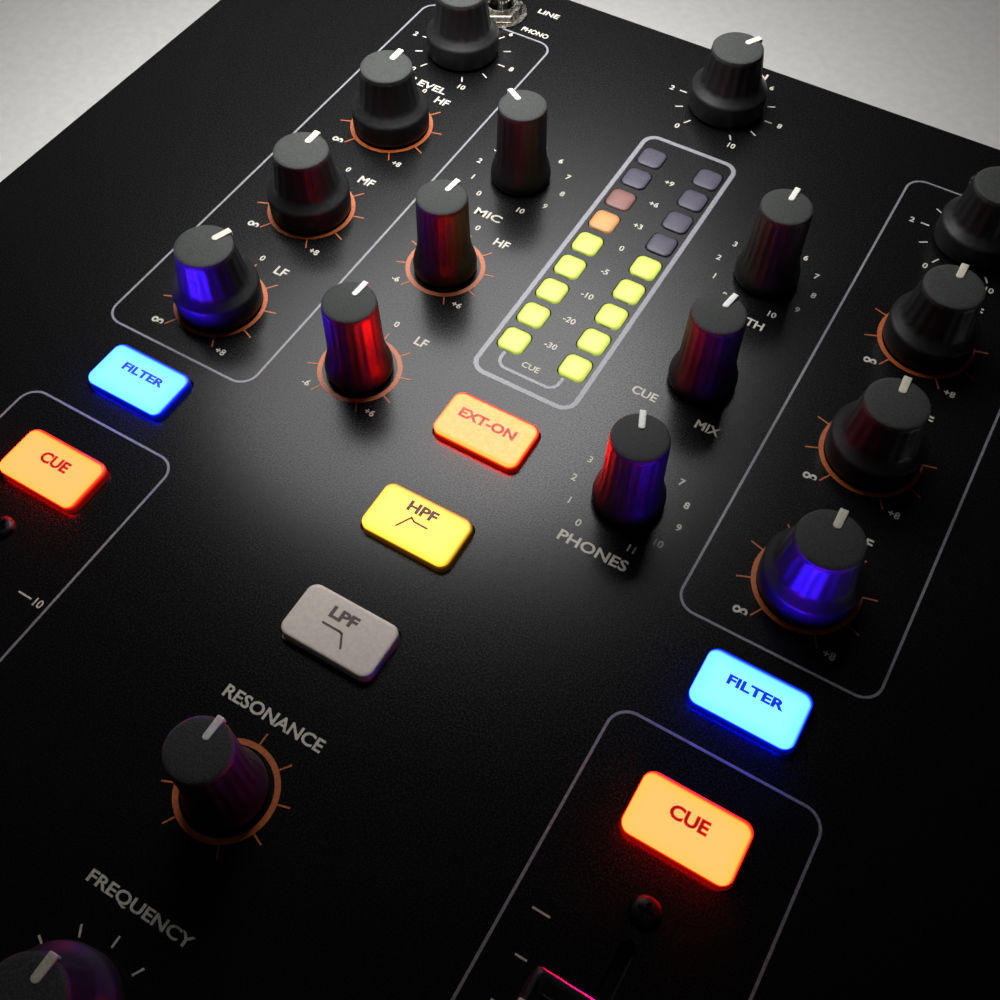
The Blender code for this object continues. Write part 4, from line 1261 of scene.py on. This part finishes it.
# %% Inlet blades and jack lips
blades = []
for x, z in ((INLET_X, 28.5), (INLET_X + 7, 24.5), (INLET_X - 7, 24.5)):
    blades.append(block("blade", (2.12, 12.0, 4.12), (x, 123.7, z)))
    soften(blades[-1], 0.35, 2)
on_case(join(blades, "blades"), "inlet_blades", nickel)
JACKS = {
    "booth_left": ((BOOTH_X, 133.5, WHITE_ROW), TO_REAR, 3.4, 5.2),
    "booth_right": ((BOOTH_X, 133.5, RED_ROW), TO_REAR, 3.4, 5.2),
    "phones_large": ((-86, -142.5, 38), TO_FRONT, 3.4, 5.2),
    "phones_small": ((-66, -142.5, 38), TO_FRONT, 1.95, 3.3),
}
for name, (spot, turn, bore, thread) in JACKS.items():
    lip = ring(thread, bore, 0.4, 48)
    soften(lip, 0.12, 2)
    on_case(place(lip, spot, turn), f"{name}_lip", black_plastic)
print("jack lips:", len(JACKS))

# %% [markdown]
# ## Light and floor
# The panel is lit mostly by two round soft boxes over its rear left corner. Their reflection
# turns the powder coat grey there, and the rest stays black. Two weak boxes, from the front
# right and from the left, and four small lamps near the floor keep the other sides readable.
# The floor is plain and pale.

# %% Studio
nothing_selected()
bpy.ops.mesh.primitive_plane_add(size=6, location=(0, 0, -0.0002))
floor = named("studio_floor")
floor_paper, shader = finish_named("seamless_paper_pale", "#DEDCD8", 0.9)
noise = grain(floor_paper, shader, 3.0, 0.05, 0.3)
vary(floor_paper, shader, "Base Color", noise, "#DCDAD6", "#E3E1DE")
coat(floor, floor_paper)


def soft_box(name, spot, aim, size, watts, spread=180):
    """A round area light at spot (mm) that faces aim and spreads over spread degrees."""
    lamp = bpy.data.lights.new(name, "AREA")
    lamp.shape, lamp.size, lamp.energy = "DISK", size * MM, watts
    lamp.spread = math.radians(spread)
    made = bpy.data.objects.new(name, lamp)
    bpy.context.scene.collection.objects.link(made)
    made.location = Vector(spot) * MM
    made.rotation_euler = (Vector(aim) - Vector(spot)).to_track_quat("-Z", "Y").to_euler()


soft_box("near_soft_box", (-75, 115, 200), (-89, 132, 70), 142, 0.37, 136)
soft_box("rear_soft_box", (-105, 232, 332), (-62, 56, 70), 190, 0.062, 56)
soft_box("front_fill", (700, -800, 900), (0, 0, 40), 700, 0.12)
soft_box("left_fill", (-900, -300, 700), (0, 0, 40), 700, 0.12)
for i, (x, y) in enumerate(((0, -520), (520, 0), (0, 520), (-520, 0))):
    soft_box(f"low_fill_{i + 1}", (x, y, 20), (0, 0, 20), 36, 0.12)
world = bpy.data.worlds.new("studio_air")
world.use_nodes = True
world.node_tree.nodes["Background"].inputs["Color"].default_value = linear("#D8DCE2")
world.node_tree.nodes["Background"].inputs["Strength"].default_value = 0.01
bpy.context.scene.world = world
print("lights set")
